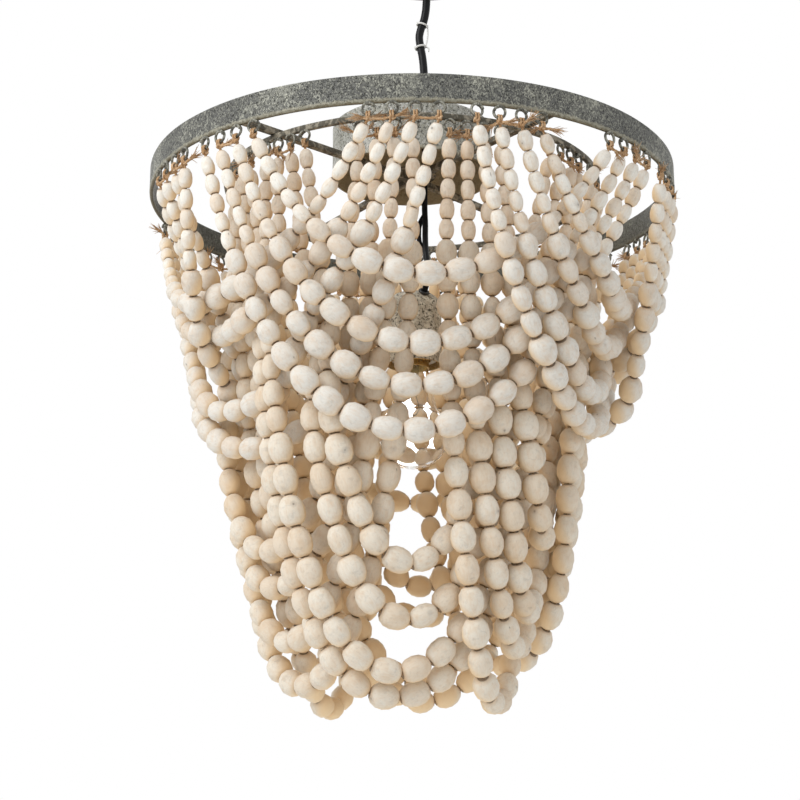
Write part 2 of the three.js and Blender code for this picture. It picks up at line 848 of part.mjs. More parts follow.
function settle(strands) {
  strands.forEach((strand) => strand.links.forEach((link) => Object.assign(link, { strand })));
  const links = strands.flatMap((strand) => strand.links);
  const points = strands.flatMap((strand) => strand.points).filter((point) => point.free);
  points.forEach((point) => Object.assign(point, { was: { x: point.x, y: point.y, z: point.z } }));
  let pairs = [];
  for (let pass = 0; pass < settlingPasses; pass += 1) {
    if (pass % pairRefresh === 0) pairs = nearPairs(links);
    const calm = pass > calmShare * settlingPasses;
    const fall = fallShare * smallBead.length * (calm ? 1 - pass / settlingPasses : 1);
    const carry = calm ? carryShare / 2 : carryShare;
    points.forEach((point) => {
      const { x, y, z } = point;
      point.x += carry * (x - point.was.x) - leanShare * fall;
      point.y += carry * (y - point.was.y);
      point.z += carry * (z - point.was.z) - fall;
      point.was = { x, y, z };
    });
    for (let sweep = 0; sweep < lengthSweeps; sweep += 1) {
      if (sweep % 2 === 0) links.forEach(keepLength);
      else for (let i = links.length - 1; i >= 0; i -= 1) keepLength(links[i]);
      if (sweep % sweepsPerPush === sweepsPerPush - 1) pairs.forEach(pushApart);
    }
  }
}

// A closed tube of changing radius through a list of places, with its frame carried along
function sweptTube(places) {
  const count = places.length;
  const tangents = places.map(({ point }, i) => {
    const before = places[Math.max(0, i - 1)].point;
    const after = places[Math.min(count - 1, i + 1)].point;
    return after.clone().sub(before).normalize();
  });
  const side = new THREE.Vector3(1, 0, 0).cross(tangents[0]).normalize();
  const positions = [];
  for (let i = 0; i < count; i += 1) {
    side.addScaledVector(tangents[i], -side.dot(tangents[i])).normalize();
    const across = tangents[i].clone().cross(side);
    for (let j = 0; j < strandSides; j += 1) {
      const angle = (2 * Math.PI * j) / strandSides;
      const vertex = places[i].point.clone();
      vertex.addScaledVector(side, places[i].radius * Math.cos(angle));
      vertex.addScaledVector(across, places[i].radius * Math.sin(angle));
      positions.push(vertex.x, vertex.y, vertex.z);
    }
  }
  const index = [];
  for (let i = 0; i + 1 < count; i += 1) {
    for (let j = 0; j < strandSides; j += 1) {
      const a = i * strandSides + j;
      const b = i * strandSides + ((j + 1) % strandSides);
      index.push(a, b, b + strandSides, a, b + strandSides, a + strandSides);
    }
  }
  const last = (count - 1) * strandSides;
  for (let j = 1; j + 1 < strandSides; j += 1) {
    index.push(0, j + 1, j, last, last + j, last + j + 1);
  }
  const geometry = new THREE.BufferGeometry();
  geometry.setAttribute('position', new THREE.Float32BufferAttribute(positions, 3));
  geometry.setIndex(index);
  return facingOut(geometry);
}

// The places of a settled strand's rings: at its knots and necks, where it has turned enough and
// after every few beads
function ringPlaces(strand) {
  const points = strand.points.map(({ x, y, z }) => new THREE.Vector3(x, y, z));
  const last = points.length - 1;
  const places = [];
  let heading = points[1].clone().sub(points[0]);
  let beads = 0;
  points.forEach((point, i) => {
    if (i === 0 || i === last) {
      places.push({ point, radius: knotRadius });
      return;
    }
    if (i === 1 || i === last - 1) {
      places.push({ point, radius: twineRadius });
      return;
    }
    const after = points[i + 1].clone().sub(point);
    beads += 1;
    const [here, next] = [strand.links[i - 1].radius, strand.links[i].radius];
    const edge = i === 2 || i === last - 2 || here !== next;
    if (!edge && heading.angleTo(after) < ringTurn && beads < beadsPerRing) return;
    places.push({ point, radius: strandRadiusShare * Math.min(here, next) });
    heading = after;
    beads = 0;
  });
  return places;
}

// A swag is its rows one after another, there and back, with twine from eye to eye between them
function makeSwag(tier, swag, strands) {
  const rows = strands.filter((strand) => strand.tier === tier && strand.swag === swag);
  const places = rows.flatMap((strand, i) => {
    const row = ringPlaces(strand);
    if (i % 2 === 1) row.reverse();
    if (i === 0) return row;
    const end = ringPlaces(rows[i - 1]);
    const from = (i % 2 === 1 ? end[end.length - 1] : end[0]).point;
    const middle = from.clone().lerp(row[0].point, 0.5);
    return [{ point: middle, radius: twineRadius }, ...row];
  });
  addPiece(fixture, `${tier.name}_swag_${swag + 1}`, sweptTube(places), `${tier.name}Beads`);
}

function makeStrands() {
  const strands = [outerTier, innerTier].flatMap((tier) => tier.clusters.flatMap(
    (_, swag) => tier.rowBeads.map((beads, row) => layStrand(tier, swag, row)),
  ));
  settle(strands);
  [outerTier, innerTier].forEach((tier) => {
    tier.clusters.forEach((_, swag) => makeSwag(tier, swag, strands));
  });
}

// Lampholder: its cord comes out of the bush with a loop tied in it, and enters the cup's shoulder

const shoulderPoint = atAzimuth(cupGripAzimuth, cupRadius - cupShoulder / 2, cupTop - cupShoulder / 2)
  .add(new THREE.Vector3(cupX, 0, 0));
const shoulderNormal = atAzimuth(cupGripAzimuth, 1, 1).normalize();

function makeInnerCord() {
  const end = [3, 2, 0].map(
    (steps) => shoulderPoint.clone().addScaledVector(shoulderNormal, steps * cupGripFlangeHeight),
  );
  const cord = toSolid(cordTube([...innerCordRoute, ...end], innerCordRadius, leadSides, innerCordSteps));
  const loop = toSolid(cordTube(cordLoopRoute, cordLoopRadius, leadSides, leadSteps));
  addPiece(fixture, 'inner_cord', joined([cord, loop]), 'blackCord');
}

// Turns a piece's own Z to the shoulder's normal and puts its origin on the shoulder
function ontoShoulder(geometry) {
  const upright = new THREE.Vector3(0, 0, 1);
  geometry.applyQuaternion(new THREE.Quaternion().setFromUnitVectors(upright, shoulderNormal));
  return moved(geometry, shoulderPoint.x, shoulderPoint.y, shoulderPoint.z);
}

function makeCup() {
  const w = cupWall;
  const bottom = cupTop - cupHeight;
  const flat = cupRadius - cupShoulder;
  const shell = turned([
    [0, cupTop],
    [flat, cupTop],
    [cupRadius, cupTop - cupShoulder],
    [cupRadius, bottom],
    [cupRadius - w, bottom],
    [cupRadius - w, cupTop - cupShoulder],
    [flat - w / 2, cupTop - w],
    [0, cupTop - w],
  ], cupSides);
  const hole = toGeometry(rod(cupGripBodyRadius + seatGap, -2 * w, 2 * w, gripSides));
  const cup = toSolid(moved(shell, cupX, 0, 0)).subtract(toSolid(ontoShoulder(hole)));
  addPiece(fixture, 'lampholder_cup', toGeometry(cup), 'cup');
  const cupGrip = grip(0, 1, {
    bore: innerCordRadius + seatGap,
    body: cupGripBodyRadius,
    flange: cupGripFlangeRadius,
    height: cupGripFlangeHeight,
    tail: w,
  });
  addPiece(fixture, 'holder_cord_grip', ontoShoulder(cupGrip), 'blackPlastic');
}

function makeSocket() {
  const bottom = socketTop - socketHeight;
  const inner = shellRadius + shellWall + seatGap;
  const body = turned([
    [0, socketTop],
    [socketNeckRadius, socketTop],
    [socketRadius, socketTop - socketNeckHeight],
    [socketRadius, bottom],
    [inner, bottom],
    [inner, socketCeiling],
    [0, socketCeiling],
  ], cupSides);
  addPiece(fixture, 'socket_body', moved(body, cupX, 0, 0), 'porcelain');
  const top = socketCeiling - seatGap;
  const shell = turned([
    [shellRadius, top],
    [shellRadius + shellWall, top],
    [shellRadius + shellWall, top - shellHeight],
    [shellRadius, top - shellHeight],
  ], cupSides);
  addPiece(fixture, 'screw_shell', moved(shell, cupX, 0, 0), 'brass');
  const contact = toGeometry(rod(contactRadius, top - contactHeight, top, screwSides, cupX));
  addPiece(fixture, 'centre_contact', contact, 'brass');
}

// Bulb

function makeCap() {
  const hole = tipShankRadius + seatGap;
  const inner = capRadius - capWall;
  const thread = Array.from({ length: 2 * threadTurns + 1 }, (_, i) => [
    i % 2 === 0 ? capRadius : capRadius - threadDepth,
    capTop - capShoulder - (i * threadPitch) / 2,
  ]);
  const cap = turned([
    [hole, capTop],
    [capRadius - capShoulder, capTop],
    ...thread,
    [capRadius, capBottom],
    [inner, capBottom],
    [inner, capTop - capShoulder],
    [inner - capShoulder, capTop - capWall],
    [hole, capTop - capWall],
  ], cupSides);
  addPiece(fixture, 'bulb_cap', moved(cap, cupX, 0, 0), 'brass');
  const tip = turned([
    [0, tipTop],
    [tipShankRadius, tipTop],
    [tipRadius, tipTop - tipHeight / 2],
    [tipRadius, capTop + seatGap],
    [tipShankRadius, capTop + seatGap],
    [tipShankRadius, capTop - 2 * capWall],
    [0, capTop - 2 * capWall],
  ], screwSides);
  addPiece(fixture, 'bulb_tip', moved(tip, cupX, 0, 0), 'brass');
}

// Half the glass's outline, from the neck inside the cap to the bottom; inset is its depth below
// the outer surface
function glassOutline(neckRadius, inset) {
  const centre = bulbBottom + bulbRadius;
  const round = Array.from({ length: bulbSteps + 1 }, (_, i) => {
    const angle = THREE.MathUtils.degToRad(bulbShoulderAngle - ((90 + bulbShoulderAngle) * i) / bulbSteps);
    const radius = bulbRadius - inset;
    return [i === bulbSteps ? 0 : radius * Math.cos(angle), centre + radius * Math.sin(angle)];
  });
  return [
    [neckRadius - inset, capBottom + bulbNeckHeight],
    [neckRadius - inset, capBottom - seatGap],
    [bulbThroatRadius - inset, capBottom - bulbThroatDrop],
    ...round,
  ];
}

function makeBulb() {
  const neckRadius = capRadius - capWall - seatGap;
  const outline = [...glassOutline(neckRadius, 0), ...glassOutline(neckRadius, bulbWall).reverse()];
  addPiece(fixture, 'bulb_glass', moved(turned(outline, cupSides), cupX, 0, 0), 'glass');
  const top = capBottom + bulbNeckHeight;
  const bottom = top - stemFlangeHeight - stemLength;
  const stem = turned([
    [0, top],
    [neckRadius - bulbWall - seatGap, top],
    [neckRadius - bulbWall - seatGap, top - stemFlangeHeight],
    [stemRadius, top - stemFlangeHeight - stemRadius],
    [stemRadius, bottom],
    [0, bottom],
  ], screwSides);
  addPiece(fixture, 'bulb_stem', moved(stem, cupX, 0, 0), 'glass');
  const filament = filamentShares.map(([across, down]) => new THREE.Vector3(
    cupX + across * filamentSpread,
    0,
    bottom - seatGap - down * filamentHeight,
  ));
  addPiece(fixture, 'filament', cordTube(filament, filamentRadius, tieSides, tieSteps), 'tungsten');
}

makeCanopy();
makeBracket();
makeCanopyScrews();
makeCanopyGrip();
makeLeads();
makeSupplyCord();
makeDrum();
makeEarthScrew();
makeBars();
makeHubPlate();
makeBand('outer_hoop', outerTier, hoopRadius, hoopWall, hoopTop);
makeBand('inner_ring', innerTier, ringRadius, ringWidth, ringTop);
makeStrands();
makeInnerCord();
makeCup();
makeSocket();
makeCap();
makeBulb();

export default chandelier;
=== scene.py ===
import math

import bpy
import numpy as np
from bpy.props import (
    FloatProperty,
    FloatVectorProperty,
    IntProperty,
    PointerProperty,
)
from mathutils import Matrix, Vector


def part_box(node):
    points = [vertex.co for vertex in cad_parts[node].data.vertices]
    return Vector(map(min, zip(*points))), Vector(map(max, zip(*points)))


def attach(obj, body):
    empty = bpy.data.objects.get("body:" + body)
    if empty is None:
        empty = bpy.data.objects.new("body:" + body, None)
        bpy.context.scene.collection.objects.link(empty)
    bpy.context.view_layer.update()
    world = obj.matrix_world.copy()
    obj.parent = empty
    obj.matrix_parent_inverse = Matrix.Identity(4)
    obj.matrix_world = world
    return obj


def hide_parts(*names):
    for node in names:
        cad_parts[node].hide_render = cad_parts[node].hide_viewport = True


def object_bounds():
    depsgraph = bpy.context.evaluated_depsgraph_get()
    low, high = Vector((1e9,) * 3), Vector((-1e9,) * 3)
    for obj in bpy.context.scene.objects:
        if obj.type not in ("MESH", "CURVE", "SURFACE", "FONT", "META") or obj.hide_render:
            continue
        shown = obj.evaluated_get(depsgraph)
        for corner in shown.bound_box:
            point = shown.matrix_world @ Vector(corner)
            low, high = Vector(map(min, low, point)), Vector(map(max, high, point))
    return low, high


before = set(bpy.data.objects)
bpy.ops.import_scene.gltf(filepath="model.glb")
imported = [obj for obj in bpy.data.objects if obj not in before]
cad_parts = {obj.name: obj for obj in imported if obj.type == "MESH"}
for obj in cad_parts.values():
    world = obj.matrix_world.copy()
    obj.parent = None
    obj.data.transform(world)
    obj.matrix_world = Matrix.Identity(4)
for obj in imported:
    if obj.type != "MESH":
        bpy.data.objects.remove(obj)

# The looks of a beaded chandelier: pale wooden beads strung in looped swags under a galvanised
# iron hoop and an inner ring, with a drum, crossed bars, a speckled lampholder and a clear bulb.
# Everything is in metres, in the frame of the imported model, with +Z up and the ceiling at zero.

bl_info = {
    "name": "Beaded chandelier",
    "version": (1, 0, 0),
    "blender": (4, 5, 0),
    "location": "View3D > Sidebar > Chandelier",
    "description": "Builds the beads, twine, iron, cords, lampholder and bulb of a beaded chandelier",
    "category": "Object",
}

CAD_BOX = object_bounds()
SWAGS = 6
TIERS = ("outer", "inner")
TAU = 2 * math.pi
UP = np.array([0.0, 0.0, 1.0])

# Sizes of the strands as they are built: small, middle and large beads as (radius, length)
SMALL_BEAD = (0.0058, 0.016)
MIDDLE_BEAD = (0.0083, 0.021)
LARGE_BEAD = (0.0098, 0.0245)
BEAD_GAP = 0.0004
END_BEADS = 5
LARGE_SHARE = 0.55
KNOT_RADIUS = 0.0024
SEAT_GAP = 0.0003
EYE_RADIUS = 0.0046
EYE_WIRE = 0.00095
EYE_SINK = 0.0011
EYE_TURNS = 1.22
EYE_SEEDS = {"outer": 5, "inner": 6}

# Stations along a bead's axis, as shares of half its length; the first and last lie in its bore
BEAD_STATIONS = np.array([-0.95, -1, -0.84, -0.48, 0, 0.48, 0.84, 1, 0.95])

# Ribbed glands that hold the supply cord in the canopy and on the drum
GLAND_BORE = 0.0037
GLAND_BODY = 0.006
GLAND_FLANGE = 0.003
GLAND_RIBS = 18

# Height of one turn of the bulb's thread, on its cap and in the shell
THREAD_PITCH = 0.0036

# Point that the camera looks at: this far left of the fixture's axis and below the hoop's top
AIM_LEFT = 0.01034
AIM_DROP = 0.1989

# Place of the cord's grip on the cup's shoulder, in degrees from the front, and its flange
CUP_GRIP_AZIMUTH = 25
CUP_GRIP_FLANGE = 0.002

# Route of the supply cord, from the canopy's grip to the drum's
SUPPLY_ROUTE = np.array([
    [0.0, 0.0, -0.02915],
    [0.0, 0.0, -0.037],
    [0.0, 0.0, -0.046],
    [-0.0002, 0.0, -0.055],
    [-0.0009, 0.0, -0.064],
    [-0.0026, 0.0, -0.073],
    [-0.0052, 0.0, -0.081],
    [-0.0068, 0.0, -0.089],
    [-0.0059, 0.0, -0.098],
    [-0.0042, 0.0, -0.108],
    [-0.0031, 0.0, -0.118],
    [-0.0026, 0.0, -0.128],
    [-0.0024, 0.0, -0.139],
    [-0.0024, 0.0, -0.15],
    [-0.0024, 0.0, -0.161],
    [-0.0024, 0.0, -0.1754],
])

# Route of the lampholder's cord from the hub's bush, and of the loop tied in it, from the
# fixture's axis
INNER_ROUTE = np.array([
    [0.0115, 0.0, -0.23157],
    [0.0115, 0.0, -0.24],
    [0.0114, -0.0024, -0.2558],
    [0.0118, -0.0088, -0.2717],
    [0.0116, -0.0167, -0.2875],
    [0.0121, -0.0229, -0.3034],
    [0.0136, -0.0255, -0.3192],
    [0.0132, -0.0247, -0.326],
])
LOOP_ROUTE = np.array([
    [0.0112, -0.0046, -0.2615],
    [0.0076, -0.0066, -0.269],
    [0.006, -0.0122, -0.282],
    [0.0074, -0.0184, -0.294],
    [0.0116, -0.0222, -0.302],
])


# Settings

def length_setting(name, description, default):
    return FloatProperty(name=name, description=description, default=default, min=0.0, unit="LENGTH")


def share_setting(name, description, default):
    return FloatProperty(name=name, description=description, default=default, min=0.0, subtype="FACTOR")


def colour_setting(name, description, default):
    return FloatVectorProperty(
        name=name, description=description, default=default, size=3, min=0.0, max=1.0, subtype="COLOR"
    )


def power_setting(name, description, default):
    return FloatProperty(name=name, description=description, default=default, unit="POWER")


class BeadSettings(bpy.types.PropertyGroup):
    """Shape and colour of the beads"""

    sides: IntProperty(name="Sides", description="Faces round a bead", default=12, min=6)
    size_spread: share_setting("Size spread", "How much bead radii vary, as a share", 0.05)
    egg: share_setting("Egg", "How much wider one end may be than the other, as a share", 0.11)
    end_share: share_setting("Flat end", "Radius of a bead's flat end, as a share of its radius", 0.34)
    bore: length_setting("Bore", "Radius of the hole through a bead", 0.0013)
    outer_colour: colour_setting("Outer colour", "Whitewash on the outer strands", (0.795, 0.765, 0.705))
    # Painted shade: the inner strands hold the same whitewashed beads as the outer ones, coloured a warmer
    # tan for the shade among them
    inner_painted_light_colour: colour_setting("Inner colour", "Whitewash on the inner strands", (0.81, 0.745, 0.64))
    small_outer_colour: colour_setting("Small outer", "Small beads, outer strands", (0.89, 0.865, 0.80))
    small_inner_painted_light_colour: colour_setting("Small inner", "Small beads, inner strands", (0.96, 0.87, 0.75))
    wood_colour: colour_setting("Bare wood", "Wood that shows through the whitewash", (0.64, 0.42, 0.22))
    # Painted shade: a warm, light tan on the sides of the beads that face the fixture's axis or down,
    # standing in for the shade and the warm light bounced among the beads
    painted_shade_colour: colour_setting(
        "Sheltered wood", "Beads where they face inwards, with less whitewash", (0.88, 0.65, 0.38)
    )
    smudge_colour: colour_setting("Smudges", "Grey smudges and knots", (0.16, 0.13, 0.11))
    seed: IntProperty(name="Seed", description="Start of the random draws", default=11)


class TwineSettings(bpy.types.PropertyGroup):
    """Shape and colour of the jute twine"""

    radius: length_setting("Radius", "Radius of the twine", 0.0011)
    tail: length_setting("Tail", "Mean length of a loose end beyond a knot", 0.0075)
    fibres: IntProperty(name="Fibres", description="Frayed fibres on a loose end", default=26, min=0)
    fibre_radius: length_setting("Fibre radius", "Radius of one frayed fibre", 0.00027)
    tuft: length_setting("Tuft", "Mean length of the frayed fibres", 0.0078)
    colour: colour_setting("Colour", "Jute", (0.37, 0.20, 0.085))
    pale_colour: colour_setting("Pale fibres", "Lighter fibres and frayed ends", (0.93, 0.71, 0.48))


class IronSettings(bpy.types.PropertyGroup):
    """Sizes and colours of the iron frame"""

    hoop_height: length_setting("Hoop height", "Height of the outer hoop's band", 0.023)
    hoop_wall: length_setting("Hoop wall", "Thickness of the outer hoop's band", 0.003)
    ring_width: length_setting("Ring width", "Width of the inner ring's bar", 0.004)
    ring_height: length_setting("Ring height", "Height of the inner ring's bar", 0.005)
    drum_wall: length_setting("Drum wall", "Thickness of the drum's sheet", 0.0015)
    zinc_colour: colour_setting("Zinc", "Galvanised face", (0.105, 0.106, 0.098))
    pale_colour: colour_setting("Pale marks", "Pale flecks in the zinc", (0.45, 0.45, 0.38))
    dark_colour: colour_setting("Dark marks", "Dark specks and hollows", (0.024, 0.024, 0.021))
    bottom_edge_colour: colour_setting("Edge", "Olive-brown edge", (0.16, 0.13, 0.075))
    # Painted highlight: a pale line above the bottom edge, where the lower bevel would catch the light
    lip_highlight_colour: colour_setting("Lip", "Pale rubbed line above the edge", (0.46, 0.43, 0.32))
    # Painted light: a bright tan that stands in for the light inside the drum's shaded hollow
    hollow_painted_light_colour: colour_setting("Drum's hollow", "Inside of the drum", (0.64, 0.53, 0.34))


class LampSettings(bpy.types.PropertyGroup):
    """Sizes and colours of the lampholder, cords and bulb"""

    cup_wall: length_setting("Cup wall", "Thickness of the cup's sheet", 0.0016)
    cup_shoulder: length_setting("Cup shoulder", "Height of the cup's rounded shoulder", 0.008)
    cord_radius: length_setting("Supply cord", "Radius of the supply cord", 0.0036)
    inner_cord_radius: length_setting("Inner cord", "Radius of the lampholder's cord", 0.0026)
    glass_wall: length_setting("Glass wall", "Thickness of the bulb's glass", 0.001)
    cup_colour: colour_setting("Cup", "Cream-grey face of the cup", (0.50, 0.46, 0.37))
    lining_colour: colour_setting("Lining", "Golden inside of the cup", (0.46, 0.29, 0.10))
    cord_colour: colour_setting("Cord", "Black cord", (0.006, 0.006, 0.007))


class StageSettings(bpy.types.PropertyGroup):
    """Camera, light and floor"""

    lens: FloatProperty(name="Lens", description="Focal length on a 36 mm sensor", default=78.54)
    pitch: FloatProperty(
        name="Pitch", description="How far the camera looks up", default=0.243, subtype="ANGLE"
    )
    distance: length_setting("Distance", "From the camera to its target", 1.5)
    key_power: power_setting("Key light", "Power of the main lamp", 21.5)
    side_power: power_setting("Side light", "Power of the right lamp", 0.7)
    fill_power: power_setting("Fill light", "Power of the low lamp", 3.5)
    back_power: power_setting("Back light", "Power of the back lamp", 11.0)
    sky: FloatProperty(name="Sky", description="Strength of the light all round", default=0.66)
    floor_colour: colour_setting("Floor", "Colour of the floor", (0.86, 0.86, 0.85))
    floor_drop: length_setting("Floor drop", "From the lowest bead to the floor", 0.22)


SETTING_GROUPS = {
    "chandelier_beads": BeadSettings,
    "chandelier_twine": TwineSettings,
    "chandelier_iron": IronSettings,
    "chandelier_lamp": LampSettings,
    "chandelier_stage": StageSettings,
}


# Shapes

class Shape:
    """Points, faces and marks of a mesh that is being put together; a mark is one value or one
    vector for each point"""

    def __init__(self, points, quads=(), tris=(), **marks):
        self.points = np.asarray(points, float).reshape(-1, 3)
        self.quads = np.asarray(quads, int).reshape(-1, 4)
        self.tris = np.asarray(tris, int).reshape(-1, 3)
        self.marks = {name: np.asarray(values, float) for name, values in marks.items()}

    def volume(self):
        """Signed volume: a sixth of the sum of a · (b × c) over the triangles."""
        halves = [self.quads[:, [0, 1, 2]], self.quads[:, [0, 2, 3]], self.tris]
        a, b, c = np.moveaxis(self.points[np.concatenate(halves)], 1, 0)
        return float(np.sum(a * np.cross(b, c))) / 6

    def facing_out(self):
        if self.volume() < 0:
            self.quads = self.quads[:, ::-1]
            self.tris = self.tris[:, ::-1]
        return self


def joined(shapes):
    """One shape with the points, faces and marks of several."""
    starts = np.cumsum([0] + [len(s.points) for s in shapes])[:-1]
    names = {name: s.marks[name].shape[1:] for s in shapes for name in s.marks}
    marks = {
        name: np.concatenate([s.marks.get(name, np.zeros((len(s.points), *size))) for s in shapes])
        for name, size in names.items()
    }
    return Shape(
        np.concatenate([s.points for s in shapes]),
        np.concatenate([s.quads + start for s, start in zip(shapes, starts)]),
        np.concatenate([s.tris + start for s, start in zip(shapes, starts)]),
        **marks,
    )


def unit(vectors):
    return vectors / np.maximum(np.linalg.norm(vectors, axis=-1, keepdims=True), 1e-12)


def grid_quads(rows, columns, wrap_rows=False):
    """Quads of a grid of points whose columns go all the way round."""
    row = np.arange(rows if wrap_rows else rows - 1)[:, None]
    column = np.arange(columns)[None]
    above, beside = (row + 1) % rows, (column + 1) % columns
    corners = (
        row * columns + column,
        row * columns + beside,
        above * columns + beside,
        above * columns + column,
    )
    return np.stack(np.broadcast_arrays(*corners), -1).reshape(-1, 4)


def fan(ring, pole):
    """Triangles from a ring of point numbers to the pole that closes it."""
    return np.stack([ring, np.roll(ring, -1), np.full(len(ring), pole)], -1)


def rounded(corners, steps=4):
    """Outline through (radius, height, rounding) corners. Each corner c becomes the curve
    (1-t)²a + 2t(1-t)c + t²b between the points a and b on its edges at the rounding's distance."""
    corners = np.asarray(corners, float)
    place, cut = corners[:, :2], corners[:, 2:]
    before, after = np.roll(place, 1, 0) - place, np.roll(place, -1, 0) - place
    half_before = np.linalg.norm(before, axis=1, keepdims=True) / 2
    half_after = np.linalg.norm(after, axis=1, keepdims=True) / 2
    a = (place + unit(before) * np.minimum(cut, half_before))[:, None]
    b = (place + unit(after) * np.minimum(cut, half_after))[:, None]
    t = np.linspace(0, 1, steps + 1)[None, :, None]
    curve = ((1 - t) ** 2 * a + 2 * t * (1 - t) * place[:, None] + t * t * b).reshape(-1, 2)
    apart = np.linalg.norm(curve - np.roll(curve, 1, 0), axis=1) > 1e-7
    return curve[apart]


def turned(profile, sides, centre=(0.0, 0.0), ripple=None, **marks):
    """A profile of (radius, height) points turned round an upright axis: x = r cos a, y = r sin a,
    with r = radius + ripple(a, height). Profile ends on the axis close in a point, and a profile
    that keeps off it closes on itself. A mark gives one value for each profile point."""
    profile = np.asarray(profile, float)
    on_axis = profile[:, 0] < 1e-9
    rings = profile[~on_axis]
    angle = TAU * np.arange(sides) / sides
    radius = rings[:, :1] + (0 if ripple is None else ripple(angle[None], rings[:, 1:]))
    radius = np.broadcast_to(radius, (len(rings), sides))
    height = np.broadcast_to(rings[:, 1:], radius.shape)
    points = np.stack([radius * np.cos(angle), radius * np.sin(angle), height], -1).reshape(-1, 3)
    poles = profile[on_axis]
    count = len(points)
    points = np.concatenate([points, np.stack([0 * poles[:, 1], 0 * poles[:, 1], poles[:, 1]], -1)])
    tris = []
    if on_axis[0]:
        tris.append(fan(np.arange(sides), count)[:, ::-1])
    if on_axis[-1]:
        tris.append(fan(np.arange(count - sides, count), len(points) - 1))
    spread = {}
    for name, values in marks.items():
        values = np.asarray(values, float)
        spread[name] = np.concatenate([np.repeat(values[~on_axis], sides), values[on_axis]])
    quads = grid_quads(len(rings), sides, wrap_rows=not on_axis.any())
    shape = Shape(points + [*centre, 0], quads, np.concatenate(tris) if tris else (), **spread)
    return shape.facing_out()


def smooth_path(points, steps=10):
    """A smooth line through points: cubic curves whose slope at a point weighs the chords before
    and after it by their lengths."""
    points = np.asarray(points, float)
    chord = np.diff(points, axis=0)
    size = np.linalg.norm(chord, axis=1, keepdims=True)
    slope = np.empty_like(points)
    rate = chord / size
    slope[1:-1] = (rate[:-1] * size[1:] + rate[1:] * size[:-1]) / (size[:-1] + size[1:])
    slope[0], slope[-1] = rate[0], rate[-1]
    t = (np.arange(steps) / steps)[None, :, None]
    a, b = points[:-1, None], points[1:, None]
    m, n = (slope[:-1] * size)[:, None], (slope[1:] * size)[:, None]
    curve = (2 * t**3 - 3 * t**2 + 1) * a + (t**3 - 2 * t**2 + t) * m
    curve = curve + (3 * t**2 - 2 * t**3) * b + (t**3 - t**2) * n
    return np.concatenate([curve.reshape(-1, 3), points[-1:]])


def lengths_along(paths):
    """How far each point of the paths is from its path's start."""
    step = np.linalg.norm(np.diff(paths, axis=-2), axis=-1)
    return np.concatenate([np.zeros((*step.shape[:-1], 1)), np.cumsum(step, axis=-1)], axis=-1)


def frames_along(paths):
    """Two directions square to each path that turn as little as possible along it: each is the
    one before it with its part along the path taken out."""
    tangent = unit(np.gradient(paths, axis=1))
    side = np.empty_like(tangent)
    side[:, 0] = unit(np.cross(tangent[:, 0], [0.36, 0.48, 0.8]))
    for i in range(1, paths.shape[1]):
        along = np.sum(side[:, i - 1] * tangent[:, i], axis=-1, keepdims=True)
        side[:, i] = unit(side[:, i - 1] - along * tangent[:, i])
    return side, np.cross(tangent, side)


def tubes(paths, radius, sides=8, plies=0, depth=0.0, twist=0.0):
    """Closed tubes along an array of paths: path + r (cos a · side + sin a · across), with
    r = radius (1 + depth cos(plies (a - twist · distance))). The mark run holds the distance
    along, the share of a turn and the tube's number."""
    paths = np.asarray(paths, float)
    if paths.ndim == 2:
        paths = paths[None]
    count, steps = paths.shape[:2]
    radius = np.broadcast_to(np.asarray(radius, float), (count, steps))
    side, across = frames_along(paths)
    along = lengths_along(paths)
    angle = TAU * np.arange(sides) / sides
    size = radius[..., None] * (1 + depth * np.cos(plies * (angle - twist * along[..., None])))
    rings = paths[:, :, None] + (size * np.cos(angle))[..., None] * side[:, :, None]
    rings = rings + (size * np.sin(angle))[..., None] * across[:, :, None]
    points = np.concatenate([rings.reshape(count, -1, 3), paths[:, [0, -1]]], axis=1)
    run = np.empty((count, steps, sides, 3))
    run[..., 0] = along[..., None]
    run[..., 1] = angle / TAU
    run[..., 2] = np.arange(count)[:, None, None]
    ends = np.stack([along[:, [0, -1]], np.zeros((count, 2)), np.tile(np.arange(count)[:, None], 2)], -1)
    marks = np.concatenate([run.reshape(count, -1, 3), ends], axis=1)
    stride = points.shape[1]
    starts = np.arange(count)[:, None, None] * stride
    first, last = np.arange(sides), np.arange((steps - 1) * sides, steps * sides)
    caps = np.concatenate([fan(first, steps * sides)[:, ::-1], fan(last, steps * sides + 1)])
    quads = (grid_quads(steps, sides)[None] + starts).reshape(-1, 4)
    tris = (caps[None] + starts).reshape(-1, 3)
    return Shape(points.reshape(-1, 3), quads, tris, run=marks.reshape(-1, 3)).facing_out()


def put_mesh(name, shape, smooth=True):
    """A new mesh object at the origin with the shape's points, faces and marks."""
    mesh = bpy.data.meshes.new(name)
    mesh.vertices.add(len(shape.points))
    mesh.vertices.foreach_set("co", shape.points.astype(np.float32).ravel())
    corners = np.concatenate([shape.quads.ravel(), shape.tris.ravel()])
    sizes = np.concatenate([np.full(len(shape.quads), 4), np.full(len(shape.tris), 3)])
    mesh.loops.add(len(corners))
    mesh.loops.foreach_set("vertex_index", corners.astype(np.int32))
    mesh.polygons.add(len(sizes))
    mesh.polygons.foreach_set("loop_start", (np.cumsum(sizes) - sizes).astype(np.int32))
    mesh.update(calc_edges=True)
    mesh.polygons.foreach_set("use_smooth", np.full(len(sizes), smooth))
    for mark, values in shape.marks.items():
        kind, field = ("FLOAT_VECTOR", "vector") if values.ndim == 2 else ("FLOAT", "value")
        layer = mesh.attributes.new(mark, kind, "POINT")
        layer.data.foreach_set(field, values.astype(np.float32).ravel())
    mesh.validate()
    piece = bpy.data.objects.new(name, mesh)
    bpy.context.scene.collection.objects.link(piece)
    return piece


